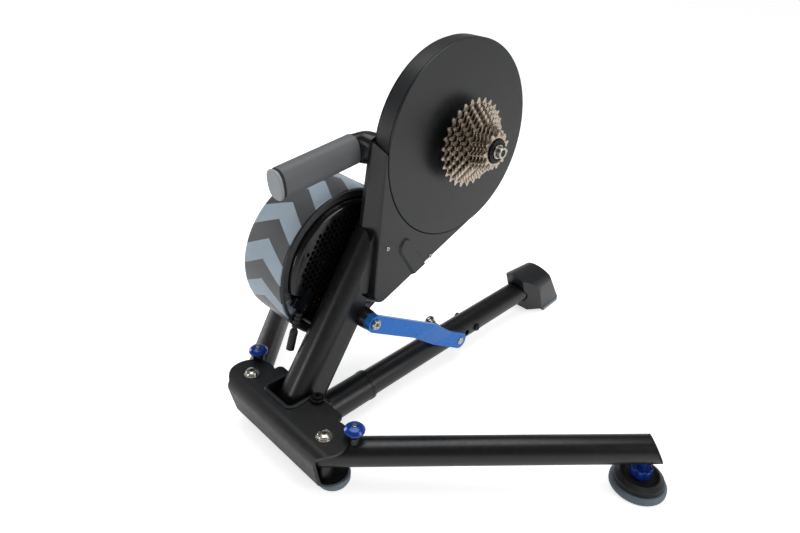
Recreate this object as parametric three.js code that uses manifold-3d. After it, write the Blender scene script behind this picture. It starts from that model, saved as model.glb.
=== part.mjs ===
import * as THREE from 'three';
import { mergeVertices } from 'three/addons/utils/BufferGeometryUtils.js';
import Module from 'manifold-3d';

const wasm = await Module();
wasm.setup();

// A direct drive bike trainer. Millimetres; X across the bike with + on the drive side,
// Y forwards along the bike, Z up from the floor, X = 0 on the bike's middle plane.

// Shared fits and facet counts
const seat = 0.3;
const overrun = 3;
const roundFine = 40;
const roundPlain = 20;
const roundSmall = 12;
const cornerSteps = 3;
const weld = 1e-4;
const hairline = 1e-9;

// Base bracket, bent from sheet steel
const bracket = {
  top: 69, bottom: 12, sheet: 4, rearTop: -31, rearBottom: -16, topBend: 14, bottomBend: 7,
  front: 38, frontHalf: 62, lobe: 29.5, lobeDegrees: -60, lowLobe: 24, lowLobeX: 70, lowLobeY: 8,
  slotLeft: -38.5, slotRight: 9.5, slotRear: -2, slotCorner: 6, lipRise: 2.5, lipWidth: 4,
  cheek: 4, cheekFront: 56, cheekRear: -12, joinTop: 47, tuck: 1,
};
const legPivot = {
  x: 71.6, bolt: 6, head: 8.4, headHeight: 5, headChamfer: 1.5, socket: 4, washer: 9.6, washerThick: 1.2,
  tail: 8, tailDepth: 4,
};
const lockBolt = { fromSlot: 10, y: 32, ring: 9, ringHeight: 2.5, head: 5.5, headHeight: 5, shank: 4.5 };
const pad = { x: 74, y: 12, radius: 21, sole: 5, soleTaper: 2 };

// Side legs, built along +X from their pivot and then turned open
const sideLeg = {
  openDegrees: 48.1, z: 47.2, rise: 1.36, radius: 16.7, wall: 2.5, start: -10, length: 380.5,
  endSlope: 0.48, footFromEnd: 9.5, pivotSleeve: 6, capThick: 2.5, plug: 1.5,
};
const springPin = {
  at: 34, radius: 3, below: 9, collar: 7.5, collarTop: 72.5, knobBottom: 74.5, knob: 12.3,
  knobHeight: 12, knobBand: 3, knobFlat: 7, knobCrown: 8, knobEdge: 2, screw: 2.6, lobeClearance: 0.6,
};
const foot = {
  rubber: 33, rubberHeight: 9, rubberLip: 30, rubberEdge: 1.5, rubberShoulder: 2, disc: 28.5, discTop: 20,
  discEdge: 3, dish: 22, dishDepth: 4, neck: 10, nut: 13, nutHeight: 10, nutEdge: 1, nutFlutes: 8,
  nutFlute: 2.4, stud: 5, studRise: 22,
};

// Centre leg with the front foot
const centreLeg = {
  x: 0.7, radius: 17.5, wall: 2.5, z: 27.8, zFoot: 37.7, zAt: 131.5, zFootAt: 441, end: 492,
  socketFrom: 60.3, socketTo: 131.5, socket: 19.6, flange: 4,
};
const position = {
  hole: 4.6, places: [282.5, 296, 318], engaged: 1, boltAt: 340, nut: 5, nutHeight: 5, head: 6, headHeight: 3,
};
// The front foot's two end faces lean back by these slopes, and its sides draw in towards the front
const frontFoot = {
  rear: 478, shoulderY: 502, front: 556, noseHalf: 16.5, rearHalf: 31.5, frontHalf: 27, rearSlope: 0.4,
  frontSlope: 0.66, archRear: 34, archFront: 26, spring: 44, top: 73, bottom: 6, tubeGap: 1.6, mouthTo: 479,
  sole: 5.7, soleRear: 506,
};

// Tilting post, its pivot and the places it carries
const post = {
  left: -38, right: 6, depth: 57, corner: 19.6, wall: 3.5, pivotY: 26, pivotZ: 38, leanDegrees: 58,
  axisBack: 0.5, lug: 20.5, lugInset: 1, bolt: 6, boltHead: 10, boltEnd: 5, topPast: 57.2, hollowFrom: 24,
  hollowTo: 120, toeForward: 23, toeRise: 16, trim: 82, housingGap: 0.8,
};
const axle = { y: 279.4, z: 344.2, radius: 10, left: -64.7, right: 60 };
const flywheelAxis = { y: 131.5, z: 191.5 };

// Belt housing: a round cover over the large pulley and a lower cover that tapers to the small one
const cover = {
  radius: 130.3, face: 4.5, back: -19.5, wall: 3, recess: 0.8, arcGap: 1.2, hub: 24,
  proudFront: 3.5, proudBack: 7.1, tipFront: 14, tipFrontY: 18.5, tipFrontZ: -26.5,
  tipBack: 26, tipBackY: 14.5, tipBackZ: -19.5, pocket: 23, pocketGrow: 15, pocketRun: 60, pocketFace: -4,
  rimEdge: 1.5,
};
const coverScrew = {
  radius: 3.2, topShare: 0.8, rise: 1.2, rearInset: 15.8, rearFromTip: 61.2, frontInset: 2.5, frontFromTip: 88.3,
};
const plate = { thick: 5, rim: 128, proud: 6, tip: 25, boss: 22 };
const leftCover = { radius: 95, thick: 3, dome: 4, hub: 34 };

// Drive train
const largePulley = {
  radius: 82, rim: 5, web: 4, hub: 22, left: -18.3, right: -7.7, hubRight: 6, holes: 6, hole: 15, holeAt: 50,
};
const smallPulley = { radius: 11.5, flange: 14, flangeThick: 1 };
const belt = { thick: 1.8, side: 0.6, gap: 0.8 };
const chain = { pitch: 12.7, roller: 7.77, toothRise: 2.1, tooth: 1.7 };
const cassette = { firstX: 21.8, step: 3.74, bore: 16.3, hub: 18.4 };
const cogTeeth = [28, 25, 23, 21, 19, 17, 15, 14, 13, 12, 11];
const clusters = [
  { name: 'cogs_large', from: 0, to: 3, hubShare: 1.25 },
  { name: 'cogs_middle', from: 3, to: 6, hubShare: 1.12 },
  { name: 'cogs_small', from: 6, to: 11, hubShare: 1 },
];
const freehub = { left: 6.3, flange: 22, flangeThick: 9 };
const lockring = { radius: 15.5, thick: 3, step: 13 };
const endCap = { flange: 9.5, flangeThick: 4, nose: 7.5, length: 10.7, socket: 4, socketDepth: 4 };
const spacer = { radius: 14, flange: 18, flangeThick: 4, edge: 1 };

// Flywheel with its eddy brake, on the left of the post
const flywheel = {
  front: -50.3, back: -126.4, radius: 101.7, rim: 15, webLeft: -119, web: 8, hub: 20,
  hubFront: -104, shaft: 10,
};
const bearing = { radius: 20, left: -101 };
const brake = { front: -62, back: -99, radius: 79, hub: 30, hubThick: 8, innerShare: 0.7 };
const ring = { face: -47.5, thick: 2.5, radius: 100.4 };
const vent = { face: -40.5, thick: 2.5, shoulder: 90.5, flat: 83, bend: 4 };
const clip = {
  out: 82.7, atDegrees: 199.4, width: 25, height: 13, thick: 6, proud: 1, corner: 2, frame: 3,
  turnDegrees: -39.7,
};
const recess = { outer: 97, inner: 79, fromDegrees: 183, innerFromDegrees: 191, toDegrees: 215 };

// Handle and the short power lead
const handle = {
  x: -50, rearY: 32, rearZ: 328.5, length: 110, riseDegrees: 8.8, halfHeight: 19, halfWidth: 14,
  armRun: 3, armReach: 21, armSteps: 5, armHalfHeight: 17, armHalfWidth: 13, capLength: 7, ringLength: 3,
  ringInset: 1.2, gripWall: 4, capRound: 1.5, armInset: 0.5, bulge: 2.6,
};
const lead = {
  x: -42.6, startY: 52.8, startZ: 152.5, ribs: 4, ribRadius: 4.6, ribRoot: 3.3, ribShare: 0.6,
  ribSlopeShare: 0.7, bootLength: 21,
  bootLeanDegrees: 20, connectorLeanDegrees: 15, connector: 5.2, connectorLength: 28,
  connectorNeck: 3.6, neckLength: 3, socket: 2, socketDepth: 8,
};

// Blue link that sets the wheel size
const link = {
  bossY: 115.6, bossZ: 144.8, upperFace: 28.5, lowerFace: 24, thick: 5, bossRadius: 11.4, bossDegrees: 59.5,
  endRadius: 12, endDegrees: 61.2, bendTop: 91, bendBottom: 57, barrelLeft: 19.5, screw: 7, screwHead: 3.5,
  screwSocket: 3, socketShare: 0.7, bush: 4.4, bushRise: 1, bushHead: 6,
};
// Corners (y, z) of the link's bent stretch: its lower edge going down, then its upper edge going up
const linkLowerEdge = [[188.1, 90.9], [236, 54.5]];
const linkUpperEdge = [[272, 59.7], [231.3, 93]];
const stud = { radius: 12.5, root: 8, bolt: 5 };
const crossPin = {
  radius: 4.2, left: -30, right: 18, neck: 6.2, neckLength: 4, knob: 10, knobLeft: -43, knobRim: 2.5,
  groove: 1.2,
};

const radians = THREE.MathUtils.degToRad;
const axisX = new THREE.Vector3(1, 0, 0);
const axisY = new THREE.Vector3(0, 1, 0);
const axisZ = new THREE.Vector3(0, 0, 1);

// Frames that carry a drawn outline (u, v) and an extrusion w onto the object's axes
const frames = {
  x: new THREE.Matrix4().makeBasis(axisY, axisZ, axisX),
  y: new THREE.Matrix4().makeBasis(axisZ, axisX, axisY),
  z: new THREE.Matrix4(),
};

/** A closed three.js geometry as a solid, with its faces turned outwards. */
function solid(geometry) {
  const bare = new THREE.BufferGeometry();
  bare.setAttribute('position', geometry.getAttribute('position').clone());
  bare.setIndex(geometry.getIndex());
  const merged = mergeVertices(bare, weld);
  const place = merged.getAttribute('position');
  const index = Array.from(merged.getIndex().array);
  const faces = [];
  let volume = 0;
  const a = new THREE.Vector3();
  const b = new THREE.Vector3();
  const c = new THREE.Vector3();
  for (let i = 0; i < index.length; i += 3) {
    const [p, q, r] = [index[i], index[i + 1], index[i + 2]];
    if (p === q || q === r || r === p) continue;
    faces.push([p, q, r]);
    a.fromBufferAttribute(place, p);
    b.fromBufferAttribute(place, q);
    c.fromBufferAttribute(place, r);
    volume += a.dot(b.cross(c));
  }
  const outward = volume > 0 ? faces : faces.map(([p, q, r]) => [p, r, q]);
  return new wasm.Manifold(new wasm.Mesh({
    numProp: 3,
    vertProperties: Float32Array.from(place.array),
    triVerts: Uint32Array.from(outward.flat()),
  }));
}

/** Joins several solids into one. */
function join(...parts) {
  return parts.reduce((whole, part) => whole.add(part));
}

/** Cuts several solids from one. */
function cut(whole, ...tools) {
  return tools.reduce((left, tool) => left.subtract(tool), whole);
}

/** Points of a closed outline through corners [u, v, radius], each rounded by an arc. */
function rounded(corners, steps = cornerSteps) {
  const at = (i) => new THREE.Vector2(...corners[(i + corners.length) % corners.length]);
  return corners.flatMap(([u, v, radius = 0], i) => {
    const here = new THREE.Vector2(u, v);
    if (!radius) return [here];
    const before = at(i - 1).sub(here).normalize();
    const after = at(i + 1).sub(here).normalize();
    const half = Math.acos(before.dot(after)) / 2;
    const centre = before.clone().add(after).setLength(radius / Math.sin(half)).add(here);
    const from = before.multiplyScalar(radius / Math.tan(half)).add(here).sub(centre);
    const to = after.multiplyScalar(radius / Math.tan(half)).add(here).sub(centre);
    const turn = Math.atan2(from.cross(to), from.dot(to));
    return Array.from({ length: steps + 1 }, (_, k) => (
      from.clone().rotateAround(new THREE.Vector2(), (turn * k) / steps).add(centre)));
  });
}

/** Points of a circle, or of an arc from one angle to another. */
function arc(u, v, radius, from = 0, to = 2 * Math.PI, steps = roundPlain) {
  const closed = Math.abs(to - from - 2 * Math.PI) < hairline;
  return Array.from({ length: closed ? steps : steps + 1 }, (_, k) => {
    const angle = from + ((to - from) * k) / steps;
    return new THREE.Vector2(u + radius * Math.cos(angle), v + radius * Math.sin(angle));
  });
}

/** A prism of an outline along an axis: (Y, Z) along x, (Z, X) along y, (X, Y) along z. */
function prism(axis, outline, from, to, holes = []) {
  const shape = new THREE.Shape(outline);
  shape.holes = holes.map((hole) => new THREE.Path(hole));
  const geometry = new THREE.ExtrudeGeometry(shape, { depth: to - from, bevelEnabled: false, steps: 1 });
  geometry.translate(0, 0, from);
  return solid(geometry.applyMatrix4(frames[axis]));
}

/** A round bar along an axis; u and v are its centre in that axis's outline frame. */
function rod(axis, u, v, radius, from, to, steps = roundPlain) {
  return prism(axis, arc(u, v, radius, 0, 2 * Math.PI, steps), from, to);
}

/** A turned piece: its profile holds [place along the axis, radius] and closes on itself. */
function turned(axis, u, v, profile, steps = roundPlain) {
  const points = [...profile, profile[0]].map(([along, radius]) => new THREE.Vector2(radius, along));
  const geometry = new THREE.LatheGeometry(points, steps);
  geometry.rotateX(Math.PI / 2);
  geometry.translate(u, v, 0);
  return solid(geometry.applyMatrix4(frames[axis]));
}

/** A box between two corners. */
function box(low, high) {
  const size = high.map((value, i) => value - low[i]);
  const geometry = new THREE.BoxGeometry(...size);
  geometry.translate(...size.map((value, i) => low[i] + value / 2));
  return solid(geometry);
}

/** A solid skinned over rings of as many points; the end outlines say how its two ends close. */
function skin(rings, firstOutline, lastOutline) {
  const count = firstOutline.length;
  const faces = [];
  rings.slice(1).forEach((_, level) => {
    firstOutline.forEach((__, i) => {
      const here = level * count + i;
      const next = level * count + ((i + 1) % count);
      faces.push(here, next, next + count, here, next + count, here + count);
    });
  });
  const lastAt = (rings.length - 1) * count;
  THREE.ShapeUtils.triangulateShape(firstOutline, []).forEach(([a, b, c]) => faces.push(a, c, b));
  THREE.ShapeUtils.triangulateShape(lastOutline, []).forEach((face) => (
    faces.push(...face.map((k) => k + lastAt))));
  const geometry = new THREE.BufferGeometry();
  geometry.setAttribute('position', new THREE.Float32BufferAttribute(rings.flat(), 3));
  geometry.setIndex(faces);
  return geometry;
}

/** A solid between two outlines of as many points, at two places along an axis. */
function loft(axis, first, from, last, to) {
  const rings = [
    first.flatMap((p) => [p.x, p.y, from]),
    last.flatMap((p) => [p.x, p.y, to]),
  ];
  return solid(skin(rings, first, last).applyMatrix4(frames[axis]));
}

/** The outline of a strap drawn tight around two circles [u, v, radius]. */
function strap([u1, v1, r1], [u2, v2, r2], steps = roundPlain) {
  const along = Math.atan2(v2 - v1, u2 - u1);
  const spread = Math.acos((r1 - r2) / Math.hypot(u2 - u1, v2 - v1));
  return [
    ...arc(u1, v1, r1, along + spread, along - spread + 2 * Math.PI, steps),
    ...arc(u2, v2, r2, along - spread, along + spread, steps / 2),
  ];
}

/** The outline of the belt housing below its round cover, grown or shrunk by an offset. */
function wedge(proud, tipY, tipZ, tip, offset, past = 0) {
  const centreY = flywheelAxis.y + tipY;
  const centreZ = flywheelAxis.z + tipZ;
  const away = Math.atan2(axle.z - centreZ, axle.y - centreY);
  const distance = Math.hypot(axle.z - centreZ, axle.y - centreY);
  const rearAngle = away + Math.acos((tip - cover.radius - proud) / distance);
  const lowerAngle = away + 2 * Math.PI - Math.acos((tip - cover.radius) / distance);
  const corner = (angle, grown, side) => new THREE.Vector2(
    axle.y + (grown + offset) * Math.cos(angle) - side * past * Math.sin(angle),
    axle.z + (grown + offset) * Math.sin(angle) + side * past * Math.cos(angle),
  );
  return [
    corner(rearAngle, cover.radius + proud, -1),
    ...arc(centreY, centreZ, tip + offset, rearAngle, lowerAngle, cornerSteps * 2),
    corner(lowerAngle, cover.radius, 1),
    new THREE.Vector2(axle.y + 2 * past * Math.cos(away), axle.z + 2 * past * Math.sin(away)),
  ];
}

/** The bulge of the housing around the small pulley and the start of the belt's two runs. */
function pocket(offset, from, to) {
  const away = Math.atan2(axle.z - flywheelAxis.z, axle.y - flywheelAxis.y);
  return prism('x', strap(
    [flywheelAxis.y, flywheelAxis.z, cover.pocket + offset],
    [flywheelAxis.y + cover.pocketRun * Math.cos(away), flywheelAxis.z + cover.pocketRun * Math.sin(away),
      cover.pocket + cover.pocketGrow + offset],
  ), from, to);
}

const wedgeFront = (offset, past) => (
  wedge(cover.proudFront, cover.tipFrontY, cover.tipFrontZ, cover.tipFront, offset, past));
const wedgeBack = (offset, past) => (
  wedge(cover.proudBack, cover.tipBackY, cover.tipBackZ, cover.tipBack, offset, past));

// Finishes: colour, roughness and metalness
const finishes = {
  powderCoat: ['#17181a', 0.42, 0.3],
  coverPlastic: ['#26272a', 0.48, 0],
  glossPlastic: ['#0c0c0e', 0.16, 0],
  blueCoat: ['#2f7fd6', 0.32, 0.5],
  blueKnob: ['#1c4bc0', 0.3, 0.1],
  stainless: ['#b9b5ac', 0.28, 1],
  nickel: ['#b8ab9a', 0.32, 1],
  steel: ['#6f7276', 0.4, 0.9],
  darkSteel: ['#3a3c40', 0.42, 0.8],
  rubber: ['#6c7780', 0.8, 0],
  darkRubber: ['#2b2c2e', 0.75, 0],
  gripRubber: ['#8a8c8e', 0.7, 0],
  capPlastic: ['#a9b0b4', 0.5, 0],
  drumPaint: ['#4d5054', 0.45, 0.3],
  copper: ['#8a5434', 0.4, 0.8],
  beltRubber: ['#1d1d1e', 0.8, 0],
};

const trainer = new THREE.Group();

/** Adds a solid to a group as a named mesh with its own material. */
function piece(group, name, body, finish) {
  const { vertProperties, triVerts } = body.getMesh();
  const geometry = new THREE.BufferGeometry();
  geometry.setAttribute('position', new THREE.Float32BufferAttribute(vertProperties, 3));
  geometry.setIndex(Array.from(triVerts));
  const [color, roughness, metalness] = finishes[finish];
  const mesh = new THREE.Mesh(geometry, new THREE.MeshStandardMaterial({ color, roughness, metalness }));
  mesh.name = name;
  group.add(mesh);
}

/** Adds a group at a place and turn to a parent. */
function groupAt(parent, place, turn = [0, 0, 0]) {
  const group = new THREE.Group();
  group.position.set(...place);
  group.rotation.set(...turn);
  parent.add(group);
  return group;
}

/** The height of the centre leg's axis above the floor at a distance along Y. */
function legZ(y) {
  const slope = (centreLeg.zFoot - centreLeg.z) / (centreLeg.zFootAt - centreLeg.zAt);
  return centreLeg.z + slope * (y - centreLeg.zAt);
}

/** A tube or bar along the centre leg's sloping axis. */
function alongLeg(radius, from, to, steps = roundPlain) {
  const ends = [from, to].map((y) => arc(legZ(y), centreLeg.x, radius, 0, 2 * Math.PI, steps));
  return loft('y', ends[0], from, ends[1], to);
}

/** The bracket's bent section, shrunk by an inset. */
function bracketSection(inset, front) {
  const top = bracket.top - inset;
  const bottom = bracket.bottom + inset;
  const lean = (bracket.rearBottom - bracket.rearTop) / (bracket.top - bracket.bottom);
  return rounded([
    [front, bottom],
    [front, top],
    [bracket.rearTop + inset + lean * inset, top, bracket.topBend - inset],
    [bracket.rearBottom + inset - lean * inset, bottom, bracket.bottomBend - inset],
  ]);
}

/** The bracket's outline from above at a height, with a round lobe at each end that narrows downwards. */
function bracketPlan(z) {
  const share = (z - bracket.bottom) / (bracket.top - bracket.bottom);
  const lobeX = THREE.MathUtils.lerp(bracket.lowLobeX, legPivot.x, share);
  const lobeY = THREE.MathUtils.lerp(bracket.lowLobeY, 0, share);
  const lobe = THREE.MathUtils.lerp(bracket.lowLobe, bracket.lobe, share);
  const from = radians(bracket.lobeDegrees);
  const meet = Math.acos((bracket.frontHalf - lobeX) / lobe);
  const right = [
    [lobeX + lobe * Math.cos(from), bracket.rearTop - overrun],
    ...arc(lobeX, lobeY, lobe, from, meet).map((p) => [p.x, p.y]),
    [bracket.frontHalf, bracket.front, bracket.slotCorner],
  ];
  return rounded([...right, ...right.map(([x, ...rest]) => [-x, ...rest]).reverse()]);
}

function makeBase() {
  const reach = legPivot.x + bracket.lobe;
  const section = cut(
    prism('x', bracketSection(0, bracket.front), -reach, reach),
    prism('x', bracketSection(bracket.sheet, bracket.front + overrun), -reach - overrun, reach + overrun),
  );
  const [under, over] = [bracket.bottom - overrun, bracket.top + overrun];
  const plan = loft('z', bracketPlan(under), under, bracketPlan(over), over);
  const slotOutline = (grow) => rounded([
    [bracket.slotLeft - grow, bracket.slotRear - grow, bracket.slotCorner + grow],
    [bracket.slotRight + grow, bracket.slotRear - grow, bracket.slotCorner + grow],
    [bracket.slotRight + grow, bracket.front + (grow ? 0 : overrun)],
    [bracket.slotLeft - grow, bracket.front + (grow ? 0 : overrun)],
  ]);
  const lipTop = bracket.top + bracket.lipRise;
  const underTop = bracket.top - bracket.sheet;
  const lip = prism('z', slotOutline(bracket.lipWidth), underTop, lipTop);
  const slot = prism('z', slotOutline(0), underTop - overrun, lipTop + overrun);
  const cheekOutline = rounded([
    [bracket.cheekRear, bracket.bottom + bracket.tuck],
    [bracket.cheekFront, bracket.bottom + bracket.tuck],
    [bracket.cheekFront, bracket.joinTop, bracket.slotCorner],
    [bracket.front, bracket.top - bracket.tuck],
    [bracket.rearTop + bracket.topBend, bracket.top - bracket.tuck],
  ]);
  const cheeks = [bracket.slotLeft - bracket.cheek, bracket.slotRight].map((x) => (
    prism('x', cheekOutline, x, x + bracket.cheek)));
  const joinPlate = box(
    [bracket.slotLeft - bracket.cheek, bracket.cheekFront - bracket.tuck, bracket.bottom],
    [bracket.slotRight + bracket.cheek, bracket.cheekFront + centreLeg.flange, bracket.joinTop],
  );
  const floorPlate = box(
    [bracket.slotLeft - bracket.cheek, bracket.front - bracket.tuck, bracket.bottom],
    [bracket.slotRight + bracket.cheek, bracket.cheekFront, bracket.bottom + bracket.sheet],
  );
  const lockX = bracket.slotRight + lockBolt.fromSlot;
  const body = cut(
    join(section.intersect(plan), lip, ...cheeks, joinPlate, floorPlate),
    slot,
    ...[-1, 1].map((side) => rod('z', side * legPivot.x, 0, legPivot.bolt + seat, 0, bracket.top + overrun)),
    rod('x', post.pivotY, post.pivotZ, post.bolt + seat, bracket.slotLeft - bracket.cheek - overrun,
      bracket.slotRight + bracket.cheek + overrun, roundSmall),
    rod('z', lockX, lockBolt.y, lockBolt.shank, underTop - overrun, bracket.top + overrun, roundSmall),
    prism('y', arc(legZ(centreLeg.socketFrom), centreLeg.x, centreLeg.radius - centreLeg.wall),
      bracket.cheekFront - overrun, bracket.cheekFront + centreLeg.flange + overrun),
  );
  piece(trainer, 'base_bracket', body, 'powderCoat');

  [['right', 1], ['left', -1]].forEach(([name, side]) => {
    const low = bracket.bottom - legPivot.tailDepth;
    const headTop = bracket.top + seat + legPivot.washerThick + legPivot.headHeight;
    piece(trainer, `leg_bolt_${name}`, turned('z', side * legPivot.x, 0, [
      [low, 0],
      [low, legPivot.tail],
      [bracket.bottom - seat, legPivot.tail],
      [bracket.bottom - seat, legPivot.bolt],
      [bracket.top + seat, legPivot.bolt],
      [bracket.top + seat, legPivot.washer],
      [bracket.top + seat + legPivot.washerThick, legPivot.washer],
      [bracket.top + seat + legPivot.washerThick, legPivot.head],
      [headTop, legPivot.head - legPivot.headChamfer],
      [headTop, legPivot.socket],
      [headTop - legPivot.headHeight / 2, 0],
    ], roundPlain), 'stainless');
    piece(trainer, `base_pad_${name}`, cut(
      turned('z', side * pad.x, pad.y, [
        [0, 0],
        [0, pad.radius - pad.soleTaper],
        [pad.sole, pad.radius],
        [bracket.bottom - seat, pad.radius],
        [bracket.bottom - seat, 0],
      ]),
      rod('z', side * legPivot.x, 0, legPivot.tail + seat, low - seat, bracket.bottom),
    ), 'rubber');
  });

  const lockTop = bracket.top + lockBolt.ringHeight + lockBolt.headHeight;
  piece(trainer, 'lock_bolt', turned('z', lockX, lockBolt.y, [
    [underTop, 0],
    [underTop, lockBolt.shank - seat],
    [lipTop + seat, lockBolt.shank - seat],
    [lipTop + seat, lockBolt.ring],
    [lipTop + lockBolt.ringHeight, lockBolt.ring],
    [lipTop + lockBolt.ringHeight, lockBolt.head],
    [lockTop, lockBolt.head],
    [lockTop, 0],
  ], roundSmall), 'darkSteel');

  const boltLeft = bracket.slotLeft - bracket.cheek - seat;
  const boltRight = bracket.slotRight + bracket.cheek + seat;
  piece(trainer, 'post_pivot_bolt', turned('x', post.pivotY, post.pivotZ, [
    [boltLeft - post.boltEnd, 0],
    [boltLeft - post.boltEnd, post.boltHead],
    [boltLeft, post.boltHead],
    [boltLeft, post.bolt],
    [boltRight, post.bolt],
    [boltRight, post.boltHead],
    [boltRight + post.boltEnd, post.boltHead],
    [boltRight + post.boltEnd, 0],
  ], roundSmall), 'stainless');
}

function makeCentreLeg() {
  piece(trainer, 'leg_socket', cut(
    alongLeg(centreLeg.socket, centreLeg.socketFrom, centreLeg.socketTo),
    alongLeg(centreLeg.radius + seat, centreLeg.socketFrom - overrun, centreLeg.socketTo + overrun),
  ), 'powderCoat');

  const across = [centreLeg.x - centreLeg.socket, centreLeg.x + centreLeg.socket];
  const holes = [...position.places, position.boltAt].map((y) => (
    rod('x', y, legZ(y), position.hole, ...across, roundSmall)));
  piece(trainer, 'centre_leg', cut(
    alongLeg(centreLeg.radius, centreLeg.socketFrom, centreLeg.end),
    alongLeg(centreLeg.radius - centreLeg.wall, centreLeg.socketFrom - overrun, centreLeg.end + overrun),
    ...holes,
  ), 'powderCoat');

  const half = centreLeg.radius + seat;
  piece(trainer, 'leg_cross_bolt', turned('x', position.boltAt, legZ(position.boltAt), [
    [centreLeg.x - half - position.nutHeight, 0],
    [centreLeg.x - half - position.nutHeight, position.nut],
    [centreLeg.x - half, position.nut],
    [centreLeg.x - half, position.hole - seat],
    [centreLeg.x + half, position.hole - seat],
    [centreLeg.x + half, position.head],
    [centreLeg.x + half + position.headHeight, position.head],
    [centreLeg.x + half + position.headHeight, 0],
  ], roundSmall), 'darkSteel');

  // The arch of the foot: straight sides from the sole up, then round over the tube
  const arch = (halfWidth) => [
    new THREE.Vector2(frontFoot.bottom, centreLeg.x - halfWidth),
    ...arc(0, 0, 1, -Math.PI / 2, Math.PI / 2, cornerSteps * 3).map((p) => new THREE.Vector2(
      frontFoot.spring + p.x * (frontFoot.top - frontFoot.spring),
      centreLeg.x + p.y * halfWidth,
    )),
    new THREE.Vector2(frontFoot.bottom, centreLeg.x + halfWidth),
  ];
  // The foot's outline from above at a height
  const plan = (z) => {
    const rise = z - frontFoot.bottom;
    const back = frontFoot.rearSlope * rise;
    const front = frontFoot.front - frontFoot.frontSlope * rise;
    return [
      [-frontFoot.noseHalf, frontFoot.rear - back],
      [frontFoot.noseHalf, frontFoot.rear - back],
      [frontFoot.rearHalf, frontFoot.shoulderY - back],
      [frontFoot.frontHalf, front],
      [-frontFoot.frontHalf, front],
      [-frontFoot.rearHalf, frontFoot.shoulderY - back],
    ].map(([x, y]) => new THREE.Vector2(centreLeg.x + x, y));
  };
  const [under, over] = [frontFoot.bottom - overrun, frontFoot.top + overrun];
  const sole = plan(frontFoot.bottom);
  const rearMost = frontFoot.rear - frontFoot.rearSlope * (over - frontFoot.bottom) - overrun;
  const hood = loft(
    'y', arch(frontFoot.archRear), rearMost, arch(frontFoot.archFront), frontFoot.front + overrun,
  );
  piece(trainer, 'front_foot', cut(
    loft('z', plan(under), under, plan(over), over).intersect(hood),
    alongLeg(centreLeg.radius + seat, rearMost, centreLeg.end + seat),
    alongLeg(centreLeg.radius + frontFoot.tubeGap, rearMost, frontFoot.mouthTo),
  ), 'coverPlastic');
  piece(trainer, 'front_foot_sole', prism('z', sole, 0, frontFoot.sole)
    .subtract(box(
      [-frontFoot.archRear, rearMost, -overrun],
      [frontFoot.archRear + overrun, frontFoot.soleRear, frontFoot.sole + overrun],
    )), 'rubber');
}

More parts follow.
